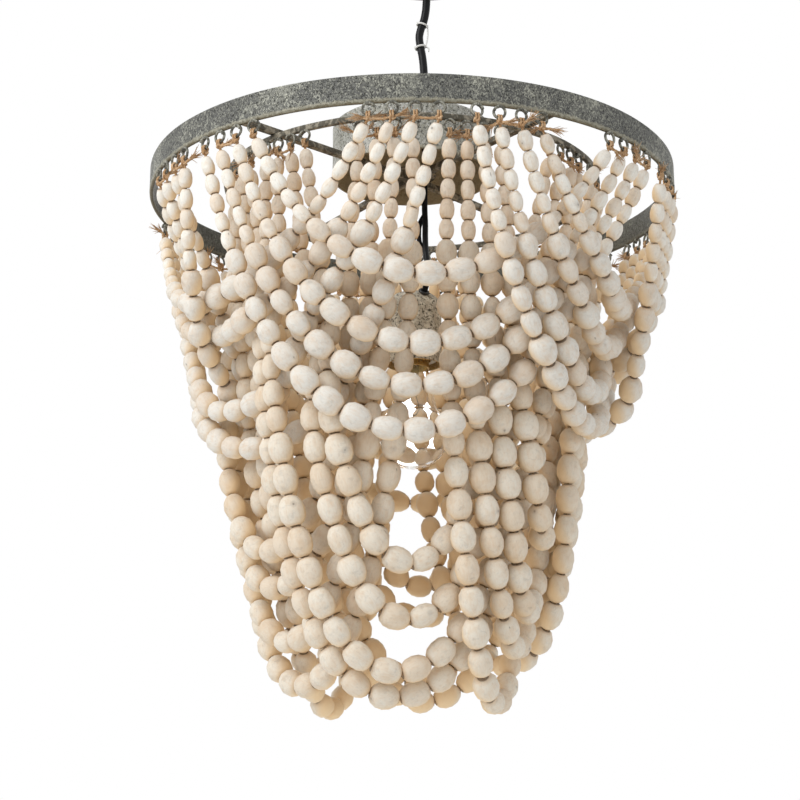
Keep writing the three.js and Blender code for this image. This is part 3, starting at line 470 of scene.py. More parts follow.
def keep_edges_crisp(piece, degrees=38):
    """Shades a piece smooth except across edges that turn by more than this angle."""
    bpy.ops.object.select_all(action="DESELECT")
    piece.select_set(True)
    bpy.context.view_layer.objects.active = piece
    bpy.ops.object.shade_smooth_by_angle(angle=math.radians(degrees))


def put_piece(name, shape, look, body, nodes=(), crisp=False):
    """A finished piece of the object: a mesh with its material that rides on a body and stands
    for the nodes that it replaces."""
    piece = put_mesh(name, shape)
    if crisp:
        keep_edges_crisp(piece)
    piece.data.materials.append(look)
    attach(piece, body)
    if nodes:
        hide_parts(*nodes)
    return piece


def dress_node(name, look, bevel=0.0004):
    """Gives a node of the frame its material and soft edges, with its mesh as it is."""
    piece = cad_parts[name]
    piece.data.materials.clear()
    piece.data.materials.append(look)
    weld = piece.modifiers.new("weld", "WELD")
    weld.merge_threshold = 1e-6
    edges = piece.modifiers.new("edges", "BEVEL")
    edges.width = bevel
    edges.segments = 2
    edges.limit_method = "ANGLE"
    edges.angle_limit = math.radians(30)
    edges.harden_normals = False


def middle_of(node):
    """Centre of a node's box in plan, half its width, and its lowest and highest level."""
    low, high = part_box(node)
    centre = ((low.x + high.x) / 2, (low.y + high.y) / 2)
    return centre, (high.y - low.y) / 2, low.z, high.z


AXIS, HOOP_RADIUS, _, HOOP_TOP = middle_of("outer_hoop")


# Strands

def walk_rings(node):
    """Centres and radii of the rings of a swag's tube in order. The tube's points are welded,
    an end ring is found, and each next ring is the neighbours of the one before it."""
    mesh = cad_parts[node].data
    points = np.empty(len(mesh.vertices) * 3, np.float32)
    mesh.vertices.foreach_get("co", points)
    places, number = np.unique(points.reshape(-1, 3).round(6), axis=0, return_inverse=True)
    corner = np.empty(len(mesh.loops), np.int32)
    mesh.loops.foreach_get("vertex_index", corner)
    tris = number.reshape(-1)[corner].reshape(-1, 3)
    edges = np.concatenate([tris[:, [0, 1]], tris[:, [1, 2]], tris[:, [2, 0]]])
    edges = np.unique(np.concatenate([edges, edges[:, ::-1]]), axis=0)

    def layers(start):
        seen = np.zeros(len(places), bool)
        now = seen.copy()
        now[start] = True
        found = []
        while now.any():
            seen |= now
            found.append(np.flatnonzero(now))
            following = np.zeros_like(seen)
            following[edges[now[edges[:, 0]], 1]] = True
            now = following & ~seen
        return found

    for last in layers([0])[-1]:
        near = np.argsort(np.linalg.norm(places - places[last], axis=1))[1:3]
        opposite = places[near].sum(0) - places[last]
        fourth = np.argmin(np.linalg.norm(places - opposite, axis=1))
        rings = layers([last, *near, fourth])
        if all(len(ring) == 4 for ring in rings):
            corners = places[np.array(rings)]
            centres = corners.mean(axis=1)
            return centres, np.linalg.norm(corners - centres[:, None], axis=-1).mean(axis=1)
    raise RuntimeError(f"{node} is not a tube of four-sided rings")


def bead_sizes(length):
    """(radius, length) of each bead on a strand of this length: small ones at both ends, then
    middle ones, and large ones in the middle. The count is the one whose total is nearest."""
    counts = np.arange(2, 60)
    large = np.array([
        np.sum(np.abs(np.arange(count) + 0.5 - count / 2) < count * LARGE_SHARE / 2) for count in counts
    ])
    middle_step, large_step = MIDDLE_BEAD[1] + BEAD_GAP, LARGE_BEAD[1] + BEAD_GAP
    ends = 2 * END_BEADS * (SMALL_BEAD[1] + BEAD_GAP)
    totals = ends + large * large_step + (counts - large) * middle_step
    best = np.argmin(np.abs(totals - length))
    side = (counts[best] - large[best]) // 2
    small, middle = [SMALL_BEAD] * END_BEADS, [MIDDLE_BEAD] * side
    return np.array([*small, *middle, *[LARGE_BEAD] * large[best], *middle, *small])


def strands_of(node):
    """The strands of a swag. Each has its two knots, the points where its beads meet, and its
    beads' sizes; the points lie on a smooth line through the tube's rings, as far apart as the
    beads are long."""
    centres, radii = walk_rings(node)
    knots = np.flatnonzero(np.abs(radii - KNOT_RADIUS) < KNOT_RADIUS / 10)
    strands = []
    for start, end in knots.reshape(-1, 2):
        line = smooth_path(centres[start + 1:end], 12)
        along = lengths_along(line)
        sizes = bead_sizes(along[-1])
        marks = np.concatenate([[0], np.cumsum(sizes[:, 1] + BEAD_GAP)])
        marks = marks * along[-1] / marks[-1]
        meets = np.stack([np.interp(marks, along, line[:, k]) for k in range(3)], -1)
        strands.append({"knots": centres[[start, end]], "meets": meets, "sizes": sizes})
    return strands


STRANDS = {
    (tier, swag): strands_of(f"{tier}_swag_{swag + 1}") for tier in TIERS for swag in range(SWAGS)
}


def outwards(points):
    """Level unit vectors from the fixture's axis to the points."""
    level = (np.asarray(points, float) - [*AXIS, 0]) * [1, 1, 0]
    return unit(level)


def bead_bodies(meets, sizes, settings, random):
    """Beads, each between two points. At t from -1 to 1 along its axis a bead's radius is
    R (1 + egg t) (1 - (1 - e^p) |t|^p)^(1/p), with e the share of its flat ends. Its section is
    a little oval, 1 + o cos 2a with o up to 0.035, and a bore runs through it."""
    count = len(sizes)
    start, end = meets[:-1], meets[1:]
    axis = unit(end - start)
    half = (np.linalg.norm(end - start, axis=1) - random.uniform(0.8, 2.2, count) * BEAD_GAP) / 2
    large = sizes[:, 0] > SMALL_BEAD[0]
    spread = 1 + settings.size_spread * random.normal(0, 1, count).clip(-2, 1.3)
    big = sizes[:, 0] * spread * np.where(large, 1.045, 1.01)
    egg = settings.egg * random.uniform(-1, 1, count) * np.where(large, 1, 0.7)
    power = random.uniform(1.95, 2.3, count)[:, None]
    flat = settings.end_share * random.uniform(0.86, 1.14, count) * np.where(large, 1, 1.45)
    t = BEAD_STATIONS
    bored = np.abs(t) == t[-1]
    body = (1 - (1 - flat[:, None] ** power) * np.abs(t) ** power) ** (1 / power)
    radius = np.where(bored, settings.bore, big[:, None] * (1 + egg[:, None] * t) * body)
    angle = TAU * np.arange(settings.sides) / settings.sides
    roll = random.uniform(0, TAU, count)
    oval = 1 + 0.035 * random.uniform(-1, 1, (count, 1, 1)) * np.cos(2 * angle)
    local = np.empty((count, len(t), settings.sides, 3))
    local[..., 0] = radius[..., None] * np.cos(angle) * oval
    local[..., 1] = radius[..., None] * np.sin(angle) * oval
    local[..., 2] = (half[:, None] * t)[..., None]
    side = unit(np.cross(axis, [0.3, 0.5, 0.81]))
    across = np.cross(axis, side)
    turn_side = np.cos(roll)[:, None] * side + np.sin(roll)[:, None] * across
    turn_across = np.cross(axis, turn_side)
    basis = np.stack([turn_side, turn_across, axis], 1)
    points = np.einsum("nijk,nkl->nijl", local, basis) + ((start + end) / 2)[:, None, None]
    place = local + random.uniform(-1, 1, (count, 1, 1, 3))
    tone = np.broadcast_to(random.uniform(0, 1, (count, 1, 1)), local.shape[:3])
    ends = np.broadcast_to(np.abs(t)[None, :, None], local.shape[:3])
    small = np.broadcast_to(~large[:, None, None], local.shape[:3])
    starts = len(t) * settings.sides * np.arange(count)[:, None, None]
    quads = grid_quads(len(t), settings.sides, wrap_rows=True)[None] + starts
    return Shape(
        points,
        quads,
        bead_place=place.reshape(-1, 3),
        bead_tone=tone.ravel(),
        bead_end=ends.ravel(),
        bead_small=small.ravel(),
    ).facing_out()


def knot_bodies(knots, settings, random):
    """Twine at the knots under the eyes: two loops through each eye, a ball of twine wound as a
    trefoil, x = sin s + 2 sin 2s, y = cos s - 2 cos 2s, z = -1.3 sin 3s, and up to two loose
    ends."""
    ball_drop, loop_depth, loop_rise = 0.0007, 0.0021, 0.0027
    count = len(knots)
    out = outwards(knots)
    along = np.cross(UP, out)
    s = np.linspace(0, TAU, 41)
    size = random.uniform(0.58, 0.76, (count, 1, 1)) * settings.radius
    x, y = np.sin(s) + 2 * np.sin(2 * s), np.cos(s) - 2 * np.cos(2 * s)
    ball = np.stack([x, y, -1.3 * np.sin(3 * s)], -1)
    turn = random.uniform(0, TAU, count)
    first = np.cos(turn)[:, None] * out + np.sin(turn)[:, None] * along
    second = np.cross(UP, first)
    axes = np.stack([first, second, np.broadcast_to(UP, first.shape)], 1)
    middle = knots - UP * ball_drop
    wound = middle[:, None] + np.einsum("tk,nkl->ntl", ball, axes) * size
    shapes = [tubes(wound, 0.86 * settings.radius, 6, 2, 0.2, 900)]
    ring = np.linspace(0, TAU, 25)
    lift = SEAT_GAP + KNOT_RADIUS - EYE_WIRE / 2
    for shift in (-0.9, 0.9):
        loop = (knots + UP * lift + along * shift * settings.radius)[:, None]
        loop = loop + loop_depth * np.sin(ring)[None, :, None] * out[:, None]
        loop = loop + loop_rise * np.cos(ring)[None, :, None] * UP
        shapes.append(tubes(loop, 0.8 * settings.radius, 6, 2, 0.2, 900))
    for way, share in ((1, 0.55), (-1, 0.2)):
        chosen = random.uniform(0, 1, count) < share
        if chosen.any():
            shapes.extend(loose_ends(middle[chosen], out[chosen], way * along[chosen], settings, random))
    return shapes


def loose_ends(knots, out, along, settings, random):
    """Twine that leaves the knots and ends in a tuft of splayed fibres. Its line is
    start + L (d s + b s²), with d its first direction and b a bend that is part sag. Each fibre is
    the same curve with its own length, direction and bend."""
    count = len(knots)
    level = random.uniform(-0.5, 0.7, (count, 1)) * out + random.uniform(0.3, 1.1, (count, 1)) * along
    heading = unit(level + random.uniform(-0.5, 0.9, (count, 1)) * UP)
    bend = 0.3 * random.normal(0, 1, (count, 3)) * [0.5, 0.5, 0.4] - 0.12 * UP
    reach = settings.tail * random.uniform(0.6, 1.4, (count, 1, 1))
    s = np.linspace(0, 1, 9)[None, :, None]
    line = knots[:, None] + reach * (heading[:, None] * s + bend[:, None] * s * s)
    thick = settings.radius * np.interp(s[0, :, 0], [0, 0.6, 1], [0.9, 1.05, 0.8])
    shapes = [tubes(line, thick, 7, 2, 0.22, 900)]
    fibres = settings.fibres
    start = np.repeat(line[:, -3], fibres, axis=0) + 0.0005 * random.normal(0, 1, (count * fibres, 3))
    course = np.repeat(unit(line[:, -1] - line[:, -3]), fibres, axis=0)
    hair = unit(course + 0.5 * random.normal(0, 1, (count * fibres, 3)))
    droop = 0.12 * random.normal(0, 1, (count * fibres, 3)) - 0.08 * UP
    size = settings.tuft * random.uniform(0.6, 1.25, (count * fibres, 1, 1))
    s = np.linspace(0, 1, 5)[None, :, None]
    hairs = start[:, None] + size * (
        (0.6 * course + 0.4 * hair)[:, None] * s + (0.35 * hair + droop)[:, None] * s * s
    )
    thin = settings.fibre_radius * np.array([1.4, 1.3, 1.15, 0.95, 0.5])
    shapes.append(tubes(hairs, thin, 4))
    return shapes


def twine_through(strand, settings):
    """The twine that carries a strand's beads, from knot to knot."""
    knots, meets = strand["knots"], strand["meets"]
    line = np.concatenate([knots[:1], meets, knots[1:]])
    return tubes(line, settings.radius, 6)


def bridging_twine(strands, settings):
    """Twine that runs from one strand's last knot to the next strand's first, hanging a little:
    a straight line less a sag of 4 d s (1 - s)."""
    shapes = []
    for before, after in zip(strands[:-1], strands[1:]):
        start, end = before["knots"][1], after["knots"][0]
        s = np.linspace(0, 1, 17)[:, None]
        sag = 0.0012 * 4 * s * (1 - s)
        line = start + (end - start) * s - sag * np.array([0.0, 0.0, 1.0])
        shapes.append(tubes(line, 0.9 * settings.radius, 8, 2, 0.25, 700))
    return shapes


# Eyes

def eyes_under(tier):
    """The wire eyes of a hoop, over the knots and welded to it: each is a ring of about a turn
    and a quarter whose second end lies beside its first, r (cos a, sin a) in the upright plane."""
    knots = np.concatenate([s["knots"] for swag in range(SWAGS) for s in STRANDS[tier, swag]])
    random = np.random.default_rng(EYE_SEEDS[tier])
    out = outwards(knots)
    along = np.cross(UP, out)
    flat = (EYE_RADIUS + EYE_WIRE) * math.cos(math.pi / 6)
    centre = knots + UP * (SEAT_GAP + KNOT_RADIUS + flat)
    turn = np.linspace(0, EYE_TURNS * TAU, 37)[None, :, None]
    way = np.where(random.uniform(0, 1, len(knots)) < 0.5, -1, 1)[:, None, None]
    start = math.pi / 2 + random.uniform(-0.5, 0.2, (len(knots), 1, 1)) * way
    angle = start + way * turn
    radius = EYE_RADIUS * (1 + 0.04 * np.sin(2 * angle + random.uniform(0, TAU, (len(knots), 1, 1))))
    beside = 2.1 * EYE_WIRE * np.clip(turn / TAU - 0.15, 0, 1)
    line = centre[:, None] + radius * np.cos(angle) * along[:, None] + radius * np.sin(angle) * UP
    line = line + (beside - EYE_WIRE) * out[:, None]
    wire = tubes(line, 1.15 * EYE_WIRE, 8)
    top = centre + UP * (EYE_RADIUS + EYE_WIRE - EYE_SINK / 2)
    return [wire, weld_blobs(top, along, out, random)]


def weld_blobs(places, along, out, random):
    """Small lumps of weld: flattened balls whose radius varies by up to a fifth at random."""
    wide, deep, tall = 0.0024, 0.0015, 0.0013
    count, rings, sides = len(places), 6, 9
    height = np.linspace(0, math.pi, rings + 2)[1:-1]
    angle = TAU * np.arange(sides) / sides
    lump = 1 + 0.2 * random.uniform(-1, 1, (count, rings, sides))
    x = (wide * np.sin(height)[:, None] * np.cos(angle)) * lump
    y = (deep * np.sin(height)[:, None] * np.sin(angle)) * lump
    z = (tall * np.cos(height)[:, None] * np.ones(sides)) * lump
    points = places[:, None, None] + x[..., None] * along[:, None, None]
    points = points + y[..., None] * out[:, None, None]
    points = (points + z[..., None] * UP).reshape(count, -1, 3)
    poles = np.stack([places + tall * UP, places - tall * UP], 1)
    points = np.concatenate([points, poles], 1)
    body = rings * sides
    caps = np.concatenate([
        fan(np.arange(sides), body)[:, ::-1],
        fan(np.arange(body - sides, body), body + 1),
    ])
    starts = np.arange(count)[:, None, None] * (body + 2)
    return Shape(points, grid_quads(rings, sides)[None] + starts, caps[None] + starts).facing_out()


# Node groups: effects that several materials share

def node(tree, kind, inputs=None, **settings):
    """Adds a node, sets it up, and joins or sets its inputs."""
    made = tree.nodes.new(kind)
    for name, value in settings.items():
        setattr(made, name, value)
    for name, value in (inputs or {}).items():
        if isinstance(value, bpy.types.NodeSocket):
            tree.links.new(value, made.inputs[name])
        else:
            made.inputs[name].default_value = value
    return made


def mixed(tree, share, a, b, blend="MIX"):
    """Mix of two colours by a share."""
    made = node(tree, "ShaderNodeMix", data_type="RGBA", blend_type=blend)
    for index, value in ((0, share), (6, a), (7, b)):
        if isinstance(value, bpy.types.NodeSocket):
            tree.links.new(value, made.inputs[index])
        else:
            made.inputs[index].default_value = value if index == 0 else (*value[:3], 1)
    return made.outputs[2]


def band(tree, value, low, high, to_low=0.0, to_high=1.0, smooth=True):
    """A value moved from one range to another and held there."""
    kind = "SMOOTHSTEP" if smooth else "LINEAR"
    inputs = {"Value": value, "From Min": low, "From Max": high, "To Min": to_low, "To Max": to_high}
    return node(tree, "ShaderNodeMapRange", inputs, interpolation_type=kind).outputs["Result"]


def math_of(tree, operation, a, b=0.0):
    return node(tree, "ShaderNodeMath", {0: a, 1: b}, operation=operation).outputs[0]


def noise(tree, vector, scale, detail=3.0, roughness=0.55, distortion=0.0, kind="FBM"):
    inputs = {
        "Vector": vector,
        "Scale": scale,
        "Detail": detail,
        "Roughness": roughness,
        "Distortion": distortion,
    }
    return node(tree, "ShaderNodeTexNoise", inputs, noise_type=kind).outputs["Fac"]


def cell_distance(tree, vector, scale):
    """Distance to the nearest of a scatter of points, one to each cell."""
    return node(tree, "ShaderNodeTexVoronoi", {"Vector": vector, "Scale": scale}).outputs["Distance"]


def stretched(tree, vector, scale):
    return node(tree, "ShaderNodeMapping", {"Vector": vector, "Scale": scale}).outputs["Vector"]


SOCKET_KINDS = {"colour": "NodeSocketColor", "value": "NodeSocketFloat", "vector": "NodeSocketVector"}


def group(name, inputs, outputs, fill):
    """A node group that is built once: fill(tree, inputs) returns its output sockets by name."""
    tree = bpy.data.node_groups.get(name)
    if tree:
        return tree
    tree = bpy.data.node_groups.new(name, "ShaderNodeTree")
    for label, kind in inputs.items():
        tree.interface.new_socket(name=label, in_out="INPUT", socket_type=SOCKET_KINDS[kind])
    for label, kind in outputs.items():
        tree.interface.new_socket(name=label, in_out="OUTPUT", socket_type=SOCKET_KINDS[kind])
    entry = tree.nodes.new("NodeGroupInput")
    leave = tree.nodes.new("NodeGroupOutput")
    for label, socket in fill(tree, entry.outputs).items():
        tree.links.new(socket, leave.inputs[label])
    return tree


def use_group(tree, made, inputs):
    placed = node(tree, "ShaderNodeGroup", node_tree=made)
    for label, value in inputs.items():
        if isinstance(value, bpy.types.NodeSocket):
            tree.links.new(value, placed.inputs[label])
        elif isinstance(value, (int, float)):
            placed.inputs[label].default_value = value
        else:
            placed.inputs[label].default_value = (*value[:3], 1)
    return placed.outputs


def zinc_marks():
    """Spangled zinc: pale winding flecks in crowds, dark pits, and broad cloudy patches."""

    def fill(tree, given):
        place = given["Vector"]
        clouds = noise(tree, place, 24.0, 3.0, 0.6)
        worms = noise(tree, stretched(tree, place, (1.0, 1.0, 0.7)), 380.0, 2.0, 0.5, 2.2)
        flecks = band(tree, worms, 0.5, 0.6)
        often = band(tree, clouds, 0.35, 0.65, 0.45, 1.0)
        pale = math_of(tree, "MULTIPLY", flecks, often)
        pits = band(tree, noise(tree, place, 560.0, 3.0, 0.65, 0.8), 0.52, 0.62)
        base = mixed(tree, band(tree, clouds, 0.48, 0.7, 0.0, 0.35), given["Base"], given["Pale"])
        base = mixed(tree, math_of(tree, "MULTIPLY", pits, 0.85), base, given["Dark"])
        base = mixed(tree, math_of(tree, "MULTIPLY", pale, 0.9), base, given["Pale"])
        height = math_of(tree, "SUBTRACT", pale, pits)
        return {"Color": base, "Height": height, "Pits": pits}

    inputs = {"Vector": "vector", "Base": "colour", "Pale": "colour", "Dark": "colour"}
    return group("zinc_marks", inputs, {"Color": "colour", "Height": "value", "Pits": "value"}, fill)


def wood_marks():
    """Whitewashed wood: streaks along the bead's own axis, rubbed patches where the wood shows,
    grey patches, short cracks, and a few dark spots and smudges."""

    def fill(tree, given):
        place = given["Vector"]
        streaks = noise(tree, stretched(tree, place, (1.0, 1.0, 0.12)), 900.0, 3.0, 0.6)
        broad = noise(tree, place, 95.0, 3.0, 0.6, 0.4)
        rings = noise(tree, stretched(tree, place, (1.0, 1.0, 0.35)), 330.0, 2.0, 0.5, 0.8)
        smudge = band(tree, noise(tree, place, 110.0, 4.0, 0.7, 0.6), 0.6, 0.78)
        from_spot = cell_distance(tree, place, 62.0)
        spotted = band(tree, noise(tree, place, 30.0, 1.0), 0.5, 0.58)
        spots = math_of(tree, "MULTIPLY", band(tree, from_spot, 0.04, 0.1, 0.7, 0.0), spotted)
        halo = math_of(tree, "MULTIPLY", band(tree, from_spot, 0.09, 0.24, 0.2, 0.0), spotted)
        cracks = cell_distance(tree, stretched(tree, place, (1.0, 1.0, 0.28)), 70.0)
        cracks = band(tree, cracks, 0.025, 0.06, 0.55, 0.0)
        rubbed = band(tree, broad, 0.42, 0.7)
        line = band(tree, rings, 0.48, 0.68)
        show = math_of(tree, "MULTIPLY", rubbed, 0.24)
        show = math_of(tree, "ADD", show, math_of(tree, "MULTIPLY", line, 0.12))
        show = math_of(tree, "ADD", show, math_of(tree, "MULTIPLY", band(tree, streaks, 0.42, 0.7), 0.13))
        colour = mixed(tree, show, given["Wash"], given["Wood"])
        grey = band(tree, noise(tree, place, 210.0, 4.0, 0.7, 0.8), 0.48, 0.72, 0.0, 0.3)
        colour = mixed(tree, grey, colour, (0.42, 0.39, 0.34))
        blemish = math_of(tree, "MAXIMUM", math_of(tree, "MAXIMUM", spots, cracks), halo)
        stain = math_of(tree, "MULTIPLY", math_of(tree, "MULTIPLY", smudge, 0.35), given["Marks"])
        colour = mixed(tree, math_of(tree, "MAXIMUM", stain, blemish), colour, given["Smudge"])
        height = math_of(tree, "ADD", streaks, math_of(tree, "MULTIPLY", rings, 0.6))
        height = math_of(tree, "SUBTRACT", height, math_of(tree, "MULTIPLY", blemish, 1.6))
        return {"Color": colour, "Height": height}

    inputs = {"Vector": "vector", "Wash": "colour", "Wood": "colour", "Smudge": "colour", "Marks": "value"}
    return group("wood_marks", inputs, {"Color": "colour", "Height": "value"}, fill)


def blotches():
    """Two colours in patches with ragged edges, and fine grit that darkens them and gives bump."""

    def fill(tree, given):
        place = given["Vector"]
        scaled = node(
            tree, "ShaderNodeVectorMath", {0: place, "Scale": given["Scale"]}, operation="SCALE"
        ).outputs[0]
        patch = band(tree, noise(tree, scaled, 1.0, 5.0, 0.68, 0.5), 0.44, 0.6)
        grit = noise(tree, scaled, 7.0, 3.0, 0.6)
        colour = mixed(tree, patch, given["First"], given["Second"])
        colour = mixed(tree, band(tree, grit, 0.35, 0.75, 0.0, 0.35), colour, (0.02, 0.018, 0.015))
        return {"Color": colour, "Height": grit, "Patch": patch}

    inputs = {"Vector": "vector", "Scale": "value", "First": "colour", "Second": "colour"}
    return group("blotches", inputs, {"Color": "colour", "Height": "value", "Patch": "value"}, fill)


def handling():
    """Light wear: an uneven gloss, patches of a worn colour, and a fine grain for bump."""

    def fill(tree, given):
        place = given["Vector"]
        smear = noise(tree, place, 140.0, 4.0, 0.65, 0.4)
        fine = noise(tree, place, 1400.0, 2.0)
        rough = math_of(tree, "ADD", given["Roughness"], band(tree, smear, 0.3, 0.7, -0.07, 0.1))
        shade = band(tree, smear, 0.3, 0.75, 0.0, 0.3)
        colour = mixed(tree, shade, given["Color"], given["Worn"])
        return {"Color": colour, "Roughness": rough, "Height": fine}

    inputs = {"Vector": "vector", "Color": "colour", "Worn": "colour", "Roughness": "value"}
    outputs = {"Color": "colour", "Roughness": "value", "Height": "value"}
    return group("handling", inputs, outputs, fill)


# Materials

def new_look(name):
    """An empty material with its shader; returns the material, its tree and the shader node."""
    look = bpy.data.materials.new(name)
    look.use_nodes = True
    tree = look.node_tree
    shader = next(n for n in tree.nodes if n.type == "BSDF_PRINCIPLED")
    return look, tree, shader


def object_place(tree):
    return node(tree, "ShaderNodeTexCoord").outputs["Object"]


def mark(tree, name):
    return node(tree, "ShaderNodeAttribute", attribute_name=name, attribute_type="GEOMETRY").outputs


def bumped(tree, shader, height, distance, strength=1.0):
    made = node(tree, "ShaderNodeBump", {"Height": height, "Distance": distance, "Strength": strength})
    tree.links.new(made.outputs["Normal"], shader.inputs["Normal"])


def once(make):
    """Makes a material the first time that it is asked for, by its arguments."""
    made = {}

    def ask(*key):
        if key not in made:
            made[key] = make(*key)
        return made[key]

    return ask


@once
def whitewash_painted_shade(tier):
    """Whitewashed beads: each has its own tone and is warmer towards its bored ends. Painted shade: the
    sides that face the middle of the fixture or down turn a warm tan, the rims of the flat ends turn dark
    brown where one bead meets the next, and the inner strands take warmer colours than the outer ones."""
    settings = bpy.context.scene.chandelier_beads
    look, tree, shader = new_look(f"whitewash_painted_shade_{tier}")
    # Painted shade: the inner strands take warmer colours than the outer ones
    wash = settings.outer_colour if tier == "outer" else settings.inner_painted_light_colour
    small_wash = settings.small_outer_colour if tier == "outer" else settings.small_inner_painted_light_colour
    wash = mixed(tree, mark(tree, "bead_small")["Fac"], wash, small_wash)
    marks = use_group(tree, wood_marks(), {
        "Vector": mark(tree, "bead_place")["Vector"],
        "Wash": wash,
        "Wood": settings.wood_colour,
        "Smudge": settings.smudge_colour,
        "Marks": band(tree, mark(tree, "bead_tone")["Fac"], 0.35, 1.0, 0.25, 1.25),
    })
    tone = mark(tree, "bead_tone")["Fac"]
    warm = band(tree, tone, 0.45, 1.0, 0.0, 0.26)
    colour = mixed(tree, warm, marks["Color"], settings.wood_colour)
    # Painted shade: a warm tan on the sides that face the axis or down
    painted_shade_share = mark(tree, "painted_shade_share")["Fac"]
    colour = mixed(tree, band(tree, painted_shade_share, 0.3, 0.85, 0.0, 0.85), colour, settings.painted_shade_colour)
    end = mark(tree, "bead_end")["Fac"]
    colour = mixed(tree, band(tree, end, 0.76, 0.97, 0.0, 0.3), colour, settings.wood_colour)
    # Painted shade: dark brown at the rims of the flat ends, the shadow in the narrow gap where one bead
    # meets the next
    colour = mixed(tree, band(tree, end, 0.955, 1.0, 0.0, 0.7), colour, (0.085, 0.045, 0.02))
    tree.links.new(colour, shader.inputs["Base Color"])
    rough = band(tree, marks["Height"], 0.4, 1.2, 0.66, 0.85)
    tree.links.new(rough, shader.inputs["Roughness"])
    shader.inputs["Specular IOR Level"].default_value = 0.3
    bumped(tree, shader, marks["Height"], 0.00025, 0.6)
    return look


@once
def jute():
    """Jute: plies and single fibres that run along the twine, paler where it frays."""
    settings = bpy.context.scene.chandelier_twine
    look, tree, shader = new_look("jute_twine")
    run = mark(tree, "run")["Vector"]
    strands = noise(tree, stretched(tree, run, (260.0, 14.0, 3.7)), 1.0, 3.0, 0.7, 0.6)
    patches = noise(tree, object_place(tree), 300.0, 2.0)
    colour = mixed(tree, band(tree, strands, 0.4, 0.65), settings.colour, settings.pale_colour)
    colour = mixed(tree, band(tree, patches, 0.4, 0.62, 0.5, 0.0), colour, settings.colour)
    tree.links.new(colour, shader.inputs["Base Color"])
    shader.inputs["Roughness"].default_value = 0.95
    shader.inputs["Specular IOR Level"].default_value = 0.1
    bumped(tree, shader, strands, 0.0002)
    return look


@once
def galvanised_iron(name, edge_level, edge_height, paler, hollow, hollow_share):
    """Galvanised iron with pale flecks and dark pits. Above edge_level an olive-brown edge gives way to a
    pale line over edge_height, a painted highlight where the lower bevel would catch the light, and where
    the mark inside is 1 the colour turns to the hollow's by hollow_share. The share paler lifts the zinc and
    its flecks."""
    settings = bpy.context.scene.chandelier_iron
    look, tree, shader = new_look(name)
    place = object_place(tree)
    zinc, pale = np.array(settings.zinc_colour), np.array(settings.pale_colour)
    marks = use_group(tree, zinc_marks(), {
        "Vector": place,
        "Base": tuple(zinc + paler * (pale - zinc)),
        "Pale": tuple(pale + paler * (0.8 - pale)),
        "Dark": settings.dark_colour,
    })
    height = node(tree, "ShaderNodeSeparateXYZ", {0: place}).outputs["Z"]
    ragged = band(tree, noise(tree, place, 240.0, 3.0), 0.3, 0.7, -0.0008, 0.0008)
    level = math_of(tree, "ADD", height, ragged)
    # Painted highlight: the pale line above the bottom edge
    lip = band(tree, level, edge_level + 0.6 * edge_height, edge_level + edge_height, 0.5, 0.0)
    # Darker olive-brown along the bottom edge
    edge = band(tree, level, edge_level, edge_level + 0.5 * edge_height, 0.85, 0.0)
    colour = mixed(tree, lip, marks["Color"], settings.lip_highlight_colour)
    colour = mixed(tree, edge, colour, settings.bottom_edge_colour)
    inside = band(tree, mark(tree, "inside")["Fac"], 0.2, 0.8, 0.0, hollow_share)
    colour = mixed(tree, inside, colour, hollow)
    tree.links.new(colour, shader.inputs["Base Color"])
    tree.links.new(band(tree, marks["Pits"], 0.0, 1.0, 0.62, 0.85), shader.inputs["Roughness"])
    shader.inputs["Metallic"].default_value = 0.25
    bumped(tree, shader, marks["Height"], 0.00022)
    return look


@once
def aged_iron(name, first, second, scale):
    """Painted iron that has aged: patches of two colours, grit and a dull surface."""
    look, tree, shader = new_look(name)
    place = object_place(tree)
    made = use_group(tree, blotches(), {
        "Vector": place,
        "Scale": scale,
        "First": first,
        "Second": second,
    })
    worn = use_group(tree, handling(), {
        "Vector": place,
        "Color": made["Color"],
        "Worn": first,
        "Roughness": 0.68,
    })
    tree.links.new(worn["Color"], shader.inputs["Base Color"])
    tree.links.new(worn["Roughness"], shader.inputs["Roughness"])
    shader.inputs["Metallic"].default_value = 0.3
    bumped(tree, shader, made["Height"], 0.0003)
    return look


@once
def plain_look(name, colour, worn, roughness, metallic, coat, grain, gloss=0.5):
    """Plastic, plated metal, brass or porcelain: one colour with light wear and fine grain."""
    look, tree, shader = new_look(name)
    made = use_group(tree, handling(), {
        "Vector": object_place(tree),
        "Color": colour,
        "Worn": worn,
        "Roughness": roughness,
    })
    tree.links.new(made["Color"], shader.inputs["Base Color"])
    tree.links.new(made["Roughness"], shader.inputs["Roughness"])
    shader.inputs["Metallic"].default_value = metallic
    shader.inputs["Coat Weight"].default_value = coat
    shader.inputs["Specular IOR Level"].default_value = gloss
    bumped(tree, shader, made["Height"], grain)
    return look


